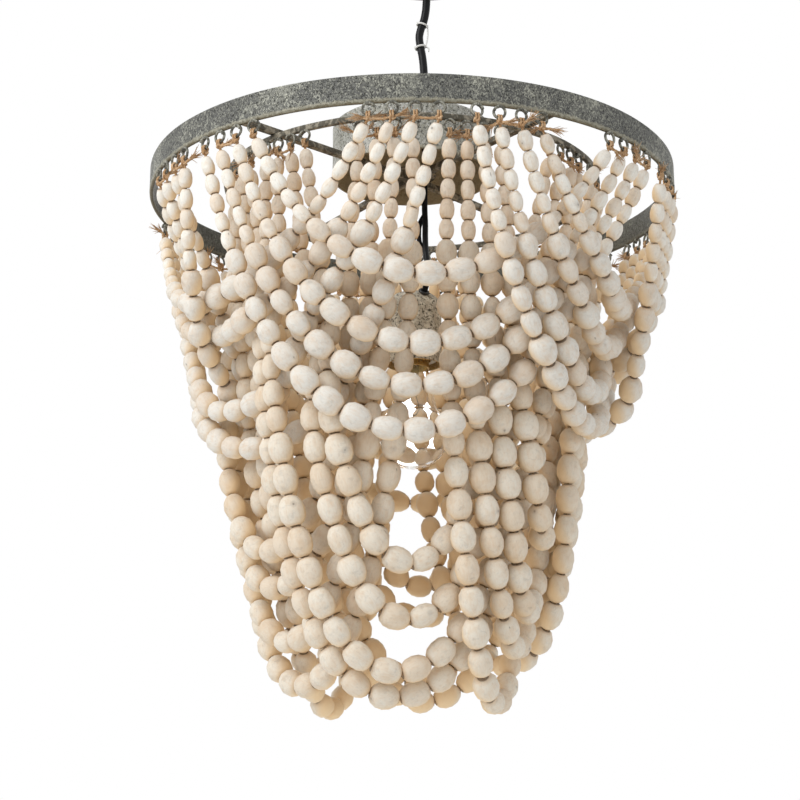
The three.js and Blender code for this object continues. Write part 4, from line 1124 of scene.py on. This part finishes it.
@once
def speckled_cup():
    """Cream-grey enamel crowded with dark specks outside, and a rough golden lining inside."""
    settings = bpy.context.scene.chandelier_lamp
    look, tree, shader = new_look("speckled_cup")
    place = object_place(tree)
    coarse = noise(tree, place, 560.0, 3.0, 0.6, 0.7)
    specks = band(tree, coarse, 0.52, 0.6)
    clouds = band(tree, noise(tree, place, 200.0, 4.0, 0.65), 0.4, 0.6)
    face = mixed(tree, clouds, settings.cup_colour, (0.72, 0.69, 0.59))
    face = mixed(tree, math_of(tree, "MULTIPLY", specks, 0.9), face, (0.05, 0.045, 0.035))
    lining = mixed(tree, band(tree, coarse, 0.35, 0.65), settings.lining_colour, (0.62, 0.46, 0.24))
    inside = mark(tree, "inside")["Fac"]
    colour = mixed(tree, band(tree, inside, 0.3, 0.7), face, lining)
    tree.links.new(colour, shader.inputs["Base Color"])
    tree.links.new(band(tree, coarse, 0.3, 0.7, 0.6, 0.85), shader.inputs["Roughness"])
    shader.inputs["Metallic"].default_value = 0.1
    bumped(tree, shader, coarse, 0.0003)
    return look


@once
def clear_glass(name, bending):
    """Clear glass with a faint unevenness. Blown glass is thin, so it bends light little and
    mirrors in a coat."""
    look, tree, shader = new_look(name)
    wave = noise(tree, object_place(tree), 60.0, 2.0)
    tint = mixed(tree, band(tree, wave, 0.3, 0.7), (0.99, 0.995, 0.995), (0.97, 0.98, 0.98))
    tree.links.new(tint, shader.inputs["Base Color"])
    tree.links.new(band(tree, wave, 0.3, 0.7, 0.0, 0.02), shader.inputs["Roughness"])
    shader.inputs["Transmission Weight"].default_value = 1.0
    shader.inputs["IOR"].default_value = bending
    shader.inputs["Coat Weight"].default_value = 0.8
    bumped(tree, shader, wave, 0.0001, 0.3)
    return look


def blown_glass():
    return clear_glass("blown_glass", 1.08)


def drawn_glass():
    return clear_glass("drawn_glass", 1.3)


def frame_iron():
    return aged_iron("aged_iron", (0.10, 0.09, 0.066), (0.42, 0.38, 0.30), 150.0)


def eye_iron():
    return aged_iron("iron_wire", (0.12, 0.117, 0.097), (0.46, 0.45, 0.38), 330.0)


def black_plastic():
    return plain_look("black_plastic", (0.012, 0.012, 0.013), (0.03, 0.03, 0.03), 0.38, 0.0, 0.0, 0.00005)


def black_cord():
    colour = tuple(bpy.context.scene.chandelier_lamp.cord_colour)
    return plain_look("black_cord", colour, (0.012, 0.012, 0.014), 0.3, 0.0, 0.0, 0.00004, 0.16)


def zinc_steel():
    return plain_look("zinc_steel", (0.55, 0.55, 0.54), (0.42, 0.42, 0.40), 0.34, 0.9, 0.0, 0.00004)


def satin_brass():
    return plain_look("satin_brass", (0.66, 0.47, 0.20), (0.48, 0.32, 0.13), 0.3, 0.92, 0.0, 0.00004)


def glazed_porcelain():
    return plain_look("glazed_porcelain", (0.78, 0.74, 0.66), (0.66, 0.60, 0.50), 0.28, 0.0, 0.4, 0.00003)


def white_plastic():
    return plain_look("white_plastic", (0.82, 0.82, 0.80), (0.70, 0.70, 0.68), 0.35, 0.0, 0.0, 0.00003)


def green_plastic():
    return plain_look("green_plastic", (0.05, 0.22, 0.08), (0.10, 0.28, 0.10), 0.35, 0.0, 0.0, 0.00003)


def dull_tungsten():
    return plain_look("dull_tungsten", (0.30, 0.28, 0.26), (0.22, 0.20, 0.18), 0.4, 0.9, 0.0, 0.00002)


# Cords

def lay_supply_cord(settings):
    """The supply cord: a round tube along the smooth line through its route, with its tie."""
    line = smooth_path(SUPPLY_ROUTE, 6)
    cord = put_piece("supply_cord_jacket", tubes(line, settings.cord_radius, 24), black_cord(), "fixture",
                     ["supply_cord"])
    tie = put_piece("cord_tie_wrap", tie_shape(line, settings), white_plastic(), "fixture",
                    ["cord_tie"])


def tie_shape(line, settings):
    """The tie at the cord's kink: two turns round the cord, each a little more than a circle
    square to it, the strip that joins them on its right, and a tail from the lower one."""
    along = lengths_along(line)
    _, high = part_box("cord_tie")
    radius, thin = 0.0009, 0.0007
    shapes, joins = [], []
    for share in (0.33, 0.48):
        at = share * along[-1]
        centre = np.array([np.interp(at, along, line[:, k]) for k in range(3)])
        ahead = np.array([np.interp(at + 0.001, along, line[:, k]) for k in range(3)])
        axis = unit(ahead - centre)
        side = unit(np.cross([0.0, 1.0, 0.0], axis))
        a = np.linspace(0, 1.12 * TAU, 45)[:, None]
        reach = settings.cord_radius + SEAT_GAP + radius
        ring = centre + reach * (np.cos(a) * side + np.sin(a) * np.cross(axis, side))
        ring = ring + axis * 0.0016 * (a / TAU - 0.5)
        shapes.append(tubes(ring, radius, 8))
        joins.append(centre + [reach, 0, 0])
    upper, lower = joins
    bow = (upper + lower) / 2 + [0.001, 0, 0]
    shapes.append(tubes(smooth_path([upper, bow, lower], 8), thin, 8))
    tail = np.array([lower, lower + [0.0025, -0.002, -0.002], lower + [0.0035, -0.004, -0.006]])
    tail[:, 0] = np.minimum(tail[:, 0], high.x)
    shapes.append(tubes(smooth_path(tail, 6), thin, 8))
    return joined(shapes)


def lay_inner_cord(settings):
    """The lampholder's cord: a round tube along the smooth line through its route, which ends
    square to the rounded shoulder of the cup, and the loop that is tied in it."""
    (cup_x, cup_y), cup_radius, _, cup_top = middle_of("lampholder_cup")
    a, half = math.radians(CUP_GRIP_AZIMUTH), settings.cup_shoulder / 2
    outward = np.array([math.sin(a), -math.cos(a), 0.0])
    shoulder = np.array([cup_x, cup_y, cup_top - half]) + (cup_radius - half) * outward
    square = unit(outward + [0.0, 0.0, 1.0])
    end = shoulder + CUP_GRIP_FLANGE * np.array([[2], [0]]) * square
    line = smooth_path(np.concatenate([INNER_ROUTE + [*AXIS, 0], end]), 8)
    loop = smooth_path(LOOP_ROUTE + [*AXIS, 0], 10)
    radius = settings.inner_cord_radius
    cord = put_piece("inner_cord_jacket", tubes(line, radius, 20), black_cord(), "lampholder",
                     ["inner_cord"])
    knot = put_piece("inner_cord_loop", tubes(loop, 0.85 * radius, 18), black_cord(), "lampholder")


# Turned fittings

def flanged(centre, bore, body, flange, seat, tip, tail, ribs=0):
    """A flange from seat to tip with a narrower body from seat to tail, all turned round one
    bore, and ribs on the flange's rim: r = flange + d cos(ribs a)."""
    way = 1 if tip > seat else -1
    profile = rounded([
        (bore, tip, 0.0004),
        (flange - abs(tip - seat) / 2, tip, 0.0008),
        (flange, tip - way * abs(tip - seat) / 2, 0.0006),
        (flange, seat, 0.0003),
        (body, seat, 0.0002),
        (body, tail, 0.0003),
        (bore, tail, 0.0003),
    ])
    if not ribs:
        return turned(profile, 40, centre)

    def ripple(angle, height):
        near_rim = (height - seat) * way > 0.0002
        return np.where(near_rim, 0.00025 * np.cos(ribs * angle), 0.0)

    return turned(profile, 4 * ribs, centre, ripple)


def put_gland(name, node_name, body, flange_on_top):
    """A ribbed gland of black plastic in place of a cord grip's node."""
    centre, flange, low, high = middle_of(node_name)
    tip, tail = (high, low) if flange_on_top else (low, high)
    seat = high - GLAND_FLANGE if flange_on_top else low + GLAND_FLANGE
    gland = flanged(centre, GLAND_BORE, GLAND_BODY, flange, seat, tip, tail, GLAND_RIBS)
    put_piece(name, gland, black_plastic(), body, [node_name], crisp=True)


def plain_disc(centre, radius, bottom, top, rounding, sides=32):
    """A solid disc with rounded edges, turned round its axis."""
    profile = rounded([(0, bottom, 0), (radius, bottom, rounding), (radius, top, rounding), (0, top, 0)])
    return turned(profile, sides, centre)


def threaded_ripple(depth, pitch, low, high):
    """Ripple of a screw thread: depth (cos(a - 2π height / pitch) - 1) / 2 between two levels."""

    def ripple(angle, height):
        inside = (height > low) & (height < high)
        return np.where(inside, depth * (np.cos(angle - TAU * height / pitch) - 1) / 2, 0.0)

    return ripple


def nut_ripple(top):
    """Ripple of a wire nut's ribs: d cos 12a, up to 2 mm below its top."""

    def ripple(angle, height):
        return np.where(height < top - 0.002, 0.0004 * np.cos(12 * angle), 0.0)

    return ripple


class ChandelierOperator(bpy.types.Operator):
    """Base of the operators that build the chandelier"""

    bl_options = {"REGISTER", "UNDO"}


class CHANDELIER_OT_camera(ChandelierOperator):
    """Adds the camera, below the hoop and looking up a little"""

    bl_idname = "chandelier.camera"
    bl_label = "Camera"

    def execute(self, context):
        scene = context.scene
        settings = scene.chandelier_stage
        camera = bpy.data.cameras.new("camera")
        camera.lens = settings.lens
        camera.sensor_width = 36
        camera.clip_end = 50
        placed = bpy.data.objects.new("camera", camera)
        scene.collection.objects.link(placed)
        target = np.array([AXIS[0] - AIM_LEFT, AXIS[1], HOOP_TOP - AIM_DROP])
        ahead = np.array([0.0, math.cos(settings.pitch), math.sin(settings.pitch)])
        placed.location = target - settings.distance * ahead
        placed.rotation_euler = (math.pi / 2 + settings.pitch, 0, 0)
        scene.camera = placed
        return {"FINISHED"}


class CHANDELIER_OT_cords(ChandelierOperator):
    """Lays the supply cord with its tie, and the lampholder's cord with its loop"""

    bl_idname = "chandelier.cords"
    bl_label = "Cords"

    def execute(self, context):
        lay_supply_cord(context.scene.chandelier_lamp)
        lay_inner_cord(context.scene.chandelier_lamp)
        return {"FINISHED"}


class CHANDELIER_OT_canopy(ChandelierOperator):
    """Builds the ceiling canopy, its bracket, screws, grip and nut"""

    bl_idname = "chandelier.canopy"
    bl_label = "Canopy"

    def execute(self, context):
        centre, radius, bottom, top = middle_of("ceiling_canopy")
        wall, lip, corner = 0.0014, 0.007, 0.007
        inner = radius - wall
        profile = rounded([
            (0, bottom, 0),
            (radius, bottom, corner),
            (radius, top, 0.0004),
            (radius - lip, top, 0.0004),
            (radius - lip, top - wall, 0.0003),
            (inner, top - wall, 0.0003),
            (inner, bottom + wall, corner - wall),
            (0, bottom + wall, 0),
        ], 8)
        put_piece("canopy_shell", turned(profile, 96, centre), frame_iron(), "ceiling",
                  ["ceiling_canopy"], crisp=True)
        dress_node("mounting_bracket", zinc_steel(), 0.0003)
        dress_node("canopy_grip_nut", zinc_steel(), 0.0003)
        for number in (1, 2):
            put_piece(f"canopy_screw_{number}_turned", screw_shape(f"canopy_screw_{number}"), zinc_steel(),
                      "ceiling", [f"canopy_screw_{number}"], crisp=True)
        put_gland("canopy_cord_gland", "canopy_cord_grip", "ceiling", flange_on_top=False)
        return {"FINISHED"}


def screw_shape(node_name):
    """A pan-head screw, head down: a dome with a round recess pressed into it, and a shank with a
    thread, r = shank + depth (cos(a - 2π z / pitch) - 1) / 2."""
    centre, head, low, high = middle_of(node_name)
    height, shank, depth, pitch = 0.0024, 0.002, 0.0005, 0.0012
    thread_low, thread_high = low + height + 0.001, high - 0.001
    profile = rounded([
        (0, low + 0.0011, 0),
        (0.0009, low + 0.0009, 0.0001),
        (0.0012, low + 0.0001, 0.0001),
        (head - height / 2, low, 0.001),
        (head, low + height / 2, 0.0008),
        (head, low + height, 0.0002),
        (shank, low + height, 0.0002),
        *[(shank, z, 0) for z in np.arange(thread_low, thread_high, 0.0003)],
        (shank, high, 0.0005),
        (0, high, 0),
    ])
    return turned(profile, 32, centre, threaded_ripple(depth, pitch, thread_low, thread_high))


class CHANDELIER_OT_leads(ChandelierOperator):
    """Lays the leads inside the canopy and their ribbed wire nuts"""

    bl_idname = "chandelier.leads"
    bl_label = "Leads"

    def execute(self, context):
        start_radius, rise = 0.003, 0.0045
        base = -0.0177
        kinds = (("live", black_cord, "black_cord"), ("neutral", white_plastic, "white_plastic"),
                 ("earth", green_plastic, "green_plastic"))
        for number, (kind, look, slot) in enumerate(kinds, 1):
            centre, radius, low, high = middle_of(f"wire_nut_{number}")
            away = unit(np.array([*centre, 0.0]))
            circle = float(np.hypot(*centre))
            route = [
                away * start_radius + UP * base,
                away * start_radius + UP * (base + rise / 2),
                away * circle / 2 + UP * (base + 2 * rise),
                away * (circle - radius) + UP * (high + rise),
                away * circle + UP * (high + rise / 2),
                away * circle + UP * (high + SEAT_GAP),
            ]
            put_piece(f"{kind}_lead_wire", tubes(smooth_path(route, 8), 0.0011, 12), look(), "ceiling",
                      [f"{kind}_lead"])
            profile = rounded([
                (0, low, 0),
                (radius - 0.002, low, 0.001),
                *[(radius - 0.0012, low + share * (high - low), 0.0004) for share in (0.25, 0.8)],
                (radius - 0.0004, high, 0.0005),
                (0, high, 0),
            ])
            ribbed = turned(profile, 72, centre, nut_ripple(high))
            put_piece(f"wire_nut_{number}_cap", ribbed, black_plastic(), "ceiling",
                      [f"wire_nut_{number}"])
        return {"FINISHED"}


class CHANDELIER_OT_drum(ChandelierOperator):
    """Builds the drum with its gland, nut, earth screw and cord"""

    bl_idname = "chandelier.drum"
    bl_label = "Drum"

    def execute(self, context):
        settings = context.scene.chandelier_iron
        wall = settings.drum_wall
        centre, radius, bottom, top = middle_of("drum_hub")
        inner = radius - wall
        profile = rounded([
            (0, top, 0),
            (radius, top, 0.0025),
            *[(radius, top - share * (top - bottom), 0) for share in (0.25, 0.5, 0.75)],
            (radius, bottom, 0.0005),
            (inner, bottom, 0.0005),
            (inner, top - wall, 0.0015),
            (0, top - wall, 0),
        ], 5)

        def dents(angle, height):
            return 0.00035 * np.sin(3 * angle + 40 * height) * np.sin(5 * angle + 1.3)

        inside = (profile[:, 0] < inner + wall / 4) & (profile[:, 1] < top - wall / 2)
        # Painted light: the drum's hollow is coloured a bright tan, standing in for the light that reaches
        # inside it. The zinc is lifted paler by 0.65, partly a paler zinc and partly painted light for the
        # highlights on its lit face.
        iron = galvanised_iron("drum_iron", bottom, 0.003, 0.65, tuple(settings.hollow_painted_light_colour), 0.62)
        put_piece("drum_shell", turned(profile, 120, centre, dents, inside=inside), iron,
                  "fixture", ["drum_hub"], crisp=True)
        put_gland("drum_cord_gland", "drum_cord_grip", "fixture", flange_on_top=True)
        dress_node("drum_grip_nut", zinc_steel(), 0.0003)
        dress_node("earth_screw", satin_brass(), 0.0003)
        centre, radius, low, high = middle_of("drum_cord")
        straight = np.linspace([*centre, high], [*centre, low], 12)
        put_piece("drum_cord_jacket", tubes(straight, radius, 18), black_cord(), "fixture",
                  ["drum_cord"])
        return {"FINISHED"}


class CHANDELIER_OT_bars(ChandelierOperator):
    """Dresses the crossed bars and the hub plate, and builds the plate's bush"""

    bl_idname = "chandelier.bars"
    bl_label = "Bars and hub plate"

    def execute(self, context):
        for name in ("cross_bar_1", "cross_bar_2", "hub_plate"):
            dress_node(name, frame_iron(), 0.0006)
        centre, flange, low, high = middle_of("cord_bush")
        bush = flanged(centre, 0.0029, 0.0046, flange, high - 0.0016, high, low)
        put_piece("cord_bush_turned", bush, black_plastic(), "fixture", ["cord_bush"],
                  crisp=True)
        return {"FINISHED"}


class CHANDELIER_OT_hoop(ChandelierOperator):
    """Builds the outer hoop's band with its eyes"""

    bl_idname = "chandelier.hoop"
    bl_label = "Outer hoop"

    def execute(self, context):
        settings = context.scene.chandelier_iron
        bottom = HOOP_TOP - settings.hoop_height
        outer, inner = HOOP_RADIUS, HOOP_RADIUS - settings.hoop_wall
        profile = rounded([
            (inner, bottom, 0.0004),
            (outer - 0.0008, bottom, 0.0003),
            (outer, bottom + 0.0016, 0.0006),
            *[(outer, bottom + share * settings.hoop_height, 0) for share in (0.3, 0.55, 0.8)],
            (outer, HOOP_TOP, 0.0005),
            (inner, HOOP_TOP, 0.0005),
            (inner, bottom + settings.hoop_height / 2, 0),
        ], 3)

        def hammered(angle, height):
            wave = np.sin(5 * angle + 0.7) + 0.6 * np.sin(11 * angle + 60 * height)
            return 0.00018 * (wave - 1.6)

        inside = profile[:, 0] < (inner + outer) / 2
        put_piece("outer_hoop_band", turned(profile, 288, AXIS, hammered, inside=inside),
                  galvanised_iron("hoop_iron", bottom, 0.004, 0.0, (0.05, 0.046, 0.028), 0.62), "fixture",
                  ["outer_hoop"], crisp=True)
        put_piece("outer_hoop_eyes", joined(eyes_under("outer")), eye_iron(), "fixture")
        return {"FINISHED"}


class CHANDELIER_OT_ring(ChandelierOperator):
    """Builds the inner ring's bar with its eyes"""

    bl_idname = "chandelier.ring"
    bl_label = "Inner ring"

    def execute(self, context):
        settings = context.scene.chandelier_iron
        _, outer, _, top = middle_of("inner_ring")
        inner, bottom = outer - settings.ring_width, top - settings.ring_height
        profile = rounded([
            (inner, bottom, 0.0008),
            (outer, bottom, 0.0008),
            (outer, top, 0.0008),
            (inner, top, 0.0008),
        ], 4)

        def hammered(angle, height):
            return 0.00018 * (np.sin(7 * angle) + np.sin(17 * angle + 2) - 2)

        put_piece("inner_ring_bar", turned(profile, 240, AXIS, hammered), frame_iron(), "fixture",
                  ["inner_ring"], crisp=True)
        put_piece("inner_ring_eyes", joined(eyes_under("inner")), eye_iron(), "fixture")
        return {"FINISHED"}


class CHANDELIER_OT_swags(ChandelierOperator):
    """Strings the swags: beads and twine for each of them"""

    bl_idname = "chandelier.swags"
    bl_label = "Swags"

    def execute(self, context):
        beads, twine = context.scene.chandelier_beads, context.scene.chandelier_twine
        for number, ((tier, swag), strands) in enumerate(STRANDS.items()):
            random = np.random.default_rng([beads.seed, number])
            strung = joined([bead_bodies(s["meets"], s["sizes"], beads, random) for s in strands])
            # Share of painted shade on each point of the beads
            strung.marks["painted_shade_share"] = painted_shade_mark(strung, strands)
            name = f"{tier}_swag_{swag + 1}"
            put_piece(f"{name}_beads", strung, whitewash_painted_shade(tier), "fixture", [name])
            knots = np.concatenate([s["knots"] for s in strands])
            tied = [twine_through(s, twine) for s in strands]
            tied += bridging_twine(strands, twine) + knot_bodies(knots, twine, random)
            put_piece(f"{name}_twine", joined(tied), jute(), "fixture")
        return {"FINISHED"}


def painted_shade_mark(strung, strands):
    """How much each point of the beads faces the fixture's axis or down, from 0 to 1: (1 - a · (outwards +
    up / 3)) / 2, with a the direction from the bead's middle to the point. It is the share of painted shade
    on the beads."""
    per_bead = len(strung.points) // sum(len(s["sizes"]) for s in strands)
    beads = strung.points.reshape(-1, per_bead, 3)
    middle = beads.mean(axis=1, keepdims=True)
    away = unit(beads - middle)
    facing = -np.sum(away * (outwards(middle) + [0, 0, 1 / 3]), axis=-1)
    return (0.5 + 0.5 * facing).clip(0, 1).ravel()


class CHANDELIER_OT_lampholder(ChandelierOperator):
    """Builds the lampholder's cup, grip, socket, screw shell and contact"""

    bl_idname = "chandelier.lampholder"
    bl_label = "Lampholder"

    def execute(self, context):
        settings = context.scene.chandelier_lamp
        wall, shoulder = settings.cup_wall, settings.cup_shoulder
        centre, radius, bottom, top = middle_of("lampholder_cup")
        inner = radius - wall
        outside = rounded([
            (0, top, 0),
            (radius - shoulder, top, 0.006),
            (radius, top - shoulder, 0.006),
            (radius, bottom, 0.0005),
            (inner, bottom, 0.0005),
            (inner, top - shoulder, 0.005),
            (inner - shoulder + wall, top - wall, 0.005),
            (0, top - wall, 0),
        ], 6)
        away = np.arange(len(outside)) > np.argmax(outside[:, 1] < bottom + 0.0002)
        put_piece("lampholder_shell", turned(outside, 72, centre, inside=away), speckled_cup(),
                  "lampholder", ["lampholder_cup"], crisp=True)
        dress_node("holder_cord_grip", black_plastic(), 0.0004)
        centre, radius, bottom, top = middle_of("socket_body")
        neck, hollow, ceiling = 0.014, 0.0149, top - 0.038
        profile = rounded([
            (0, top, 0),
            (neck, top, 0.002),
            (radius, top - 0.014, 0.004),
            (radius, bottom, 0.001),
            (hollow, bottom, 0.001),
            (hollow, ceiling, 0.001),
            (0, ceiling, 0),
        ], 5)
        put_piece("socket_porcelain", turned(profile, 56, centre), glazed_porcelain(), "lampholder",
                  ["socket_body"], crisp=True)
        centre, radius, bottom, top = middle_of("screw_shell")
        levels = np.linspace(bottom, top, 60)
        wall = 0.0005
        profile = [*[(radius, z) for z in levels], *[(radius - wall, z) for z in levels[::-1]]]
        thread = threaded_ripple(0.0004, THREAD_PITCH, bottom + 0.002, top - 0.002)
        put_piece("screw_shell_threaded", turned(profile, 48, centre, thread), satin_brass(),
                  "lampholder", ["screw_shell"])
        centre, radius, bottom, top = middle_of("centre_contact")
        put_piece("centre_contact_disc", plain_disc(centre, radius, bottom, top, 0.0007), satin_brass(),
                  "lampholder", ["centre_contact"], crisp=True)
        return {"FINISHED"}


class CHANDELIER_OT_bulb(ChandelierOperator):
    """Builds the bulb's glass, cap, tip, stem and filament"""

    bl_idname = "chandelier.bulb"
    bl_label = "Bulb"

    def execute(self, context):
        self.glass(context.scene.chandelier_lamp)
        self.cap()
        self.stem()
        return {"FINISHED"}

    def glass(self, settings):
        """The glass: a ball whose upper part runs into a narrow neck, with a wall inside it."""
        centre, radius, bottom, top = middle_of("bulb_glass")
        middle, neck = bottom + radius, 0.0119
        throat = (0.0145, top - 0.019)

        def outline(inset):
            a = np.radians(np.linspace(-90, 44, 40))
            ball = np.stack([(radius - inset) * np.cos(a), middle + (radius - inset) * np.sin(a)], -1)
            ball[0, 0] = 0
            upper = [[throat[0] - inset, throat[1]], [neck - inset, top - 0.0125], [neck - inset, top]]
            points = np.array([ball[-4], ball[-1], *upper])
            flowing = smooth_path(np.column_stack([points, np.zeros(len(points))]), 8)[8:, :2]
            return np.concatenate([ball[:-1], flowing])

        profile = np.concatenate([outline(0), outline(settings.glass_wall)[::-1]])
        put_piece("bulb_globe", turned(profile, 72, centre), blown_glass(), "bulb",
                  ["bulb_glass"])

    def cap(self):
        """The screw cap, with its thread, and a contact tip whose stub sits in the cap's hole."""
        centre, radius, bottom, top = middle_of("bulb_cap")
        wall, hole, shoulder = 0.001, 0.0025, 0.003
        levels = np.linspace(bottom + 0.0005, top - shoulder, 60)
        profile = [
            (hole, top),
            (radius - shoulder, top),
            *[(radius, z) for z in levels[::-1]],
            (radius, bottom),
            (radius - wall, bottom),
            (radius - wall, top - shoulder),
            (radius - wall - shoulder, top - wall),
            (hole, top - wall),
        ]
        thread = threaded_ripple(0.0007, THREAD_PITCH, bottom + 0.004, top - shoulder)
        put_piece("bulb_cap_threaded", turned(profile, 60, centre, thread), satin_brass(), "bulb",
                  ["bulb_cap"])
        centre, radius, bottom, top = middle_of("bulb_tip")
        profile = rounded([
            (0, top, 0),
            (0.0022, top, 0.0008),
            (radius, (top + bottom) / 2 + 0.0004, 0.0006),
            (radius, bottom + 0.0023, 0.0003),
            (0.0022, bottom + 0.0023, 0.0003),
            (0.0022, bottom, 0.0003),
            (0, bottom, 0),
        ])
        put_piece("bulb_tip_soldered", turned(profile, 32, centre), satin_brass(), "bulb",
                  ["bulb_tip"], crisp=True)

    def stem(self):
        """The glass stem with its flare, two lead wires, and the filament: a fine coil along an
        arch."""
        centre, radius, bottom, top = middle_of("bulb_stem")
        profile = rounded([
            (0, top, 0),
            (radius, top, 0.0006),
            (radius, top - 0.0016, 0.0006),
            (0.0045, top - 0.008, 0.004),
            (0.0036, bottom + 0.012, 0.004),
            (0.0042, bottom + 0.003, 0.002),
            (0.0042, bottom, 0.0015),
            (0, bottom, 0),
        ], 6)
        put_piece("bulb_stem_drawn", turned(profile, 36, centre), drawn_glass(), "bulb",
                  ["bulb_stem"])
        _, _, low, high = middle_of("filament")
        x, y = centre
        spread = 0.0045
        s = np.linspace(-1, 1, 90)
        arch = np.stack([x + spread * s, y + 0 * s, low + (high - low) * 0.3 * s**2 + 0.0008], -1)
        a = 26 * TAU * np.linspace(0, 1, 90)
        coil = arch + 0.00045 * np.stack([0 * a, np.cos(a), np.sin(a)], -1)
        shapes = [tubes(coil, 0.00014, 5)]
        for way in (-1, 1):
            end = arch[0 if way < 0 else -1]
            wire = smooth_path([[x + way * 0.0015, y, high], [x + way * 0.004, y, (low + high) / 2], end], 6)
            shapes.append(tubes(wire, 0.0003, 6))
        put_piece("filament_coil", joined(shapes), dull_tungsten(), "bulb", ["filament"])


class CHANDELIER_OT_stage(ChandelierOperator):
    """Adds the floor, the lamps and the white surroundings"""

    bl_idname = "chandelier.stage"
    bl_label = "Stage"

    def execute(self, context):
        scene = context.scene
        settings = scene.chandelier_stage
        self.floor(settings)
        self.surroundings(scene, settings)
        lamps = (
            ("key", settings.key_power, (-1.25, -1.15, 1.15), 1.3),
            ("fill_right", settings.side_power, (1.6, -0.9, 0.1), 1.0),
            ("fill_back", settings.back_power, (-0.4, 1.7, 0.7), 1.3),
            ("fill_below", settings.fill_power, (-0.2, -0.9, -1.3), 0.9),
        )
        for name, power, place, size in lamps:
            self.lamp(scene, name, power, place, size)
        return {"FINISHED"}

    def lamp(self, scene, name, power, place, size):
        target = np.array([AXIS[0], AXIS[1], -0.45])
        light = bpy.data.lights.new(name, "AREA")
        light.energy = power
        light.shape = "DISK"
        light.size = size
        placed = bpy.data.objects.new(name, light)
        scene.collection.objects.link(placed)
        away = np.array(place)
        placed.location = target + away
        placed.rotation_euler = Vector(-away).to_track_quat("-Z", "Y").to_euler()

    def floor(self, settings):
        level = CAD_BOX[0].z - settings.floor_drop
        reach = 6.0
        corners = np.array([[-1, -1], [1, -1], [1, 1], [-1, 1]]) * reach
        points = np.column_stack([corners, np.full(4, level)])
        floor = put_mesh("floor", Shape(points, [[0, 1, 2, 3]]))
        look, tree, shader = new_look("pale_floor")
        speck = noise(tree, object_place(tree), 40.0, 3.0)
        colour = tuple(settings.floor_colour)
        paler = tuple(min(1.0, c * 1.02) for c in colour)
        tree.links.new(mixed(tree, speck, colour, paler), shader.inputs["Base Color"])
        shader.inputs["Roughness"].default_value = 0.9
        floor.data.materials.append(look)

    def surroundings(self, scene, settings):
        """White for what the camera, gloss and glass see, and a softer light for the rest."""
        world = bpy.data.worlds.new("surroundings")
        scene.world = world
        world.use_nodes = True
        tree = world.node_tree
        tree.nodes.clear()
        path = node(tree, "ShaderNodeLightPath").outputs
        seen = math_of(tree, "MAXIMUM", path["Is Camera Ray"], path["Is Glossy Ray"])
        seen = math_of(tree, "MAXIMUM", seen, path["Is Transmission Ray"])
        light = node(tree, "ShaderNodeBackground", {"Color": (1, 1, 1, 1), "Strength": settings.sky})
        white = node(tree, "ShaderNodeBackground", {"Color": (1, 1, 1, 1), "Strength": 1.0})
        mix = node(tree, "ShaderNodeMixShader", {0: seen})
        tree.links.new(light.outputs[0], mix.inputs[1])
        tree.links.new(white.outputs[0], mix.inputs[2])
        leave = node(tree, "ShaderNodeOutputWorld")
        tree.links.new(mix.outputs[0], leave.inputs["Surface"])
        scene.view_settings.view_transform = "Standard"


OPERATORS = (
    CHANDELIER_OT_camera,
    CHANDELIER_OT_cords,
    CHANDELIER_OT_canopy,
    CHANDELIER_OT_leads,
    CHANDELIER_OT_drum,
    CHANDELIER_OT_bars,
    CHANDELIER_OT_hoop,
    CHANDELIER_OT_ring,
    CHANDELIER_OT_swags,
    CHANDELIER_OT_lampholder,
    CHANDELIER_OT_bulb,
    CHANDELIER_OT_stage,
)


class CHANDELIER_PT_panel(bpy.types.Panel):
    """Lists the chandelier's operators and settings"""

    bl_idname = "CHANDELIER_PT_panel"
    bl_label = "Beaded chandelier"
    bl_space_type = "VIEW_3D"
    bl_region_type = "UI"
    bl_category = "Chandelier"

    def draw(self, context):
        for operator in OPERATORS:
            self.layout.operator(operator.bl_idname)
        for name, settings in SETTING_GROUPS.items():
            box = self.layout.box()
            for field in settings.__annotations__:
                box.prop(getattr(context.scene, name), field)


CLASSES = (*SETTING_GROUPS.values(), *OPERATORS, CHANDELIER_PT_panel)


def register():
    for made in CLASSES:
        bpy.utils.register_class(made)
    for name, settings in SETTING_GROUPS.items():
        setattr(bpy.types.Scene, name, PointerProperty(type=settings))


def unregister():
    for name in SETTING_GROUPS:
        delattr(bpy.types.Scene, name)
    for made in reversed(CLASSES):
        bpy.utils.unregister_class(made)


def main():
    register()
    for operator in OPERATORS:
        getattr(bpy.ops.chandelier, operator.bl_idname.split(".")[1])()


if __name__ == "__main__":
    main()
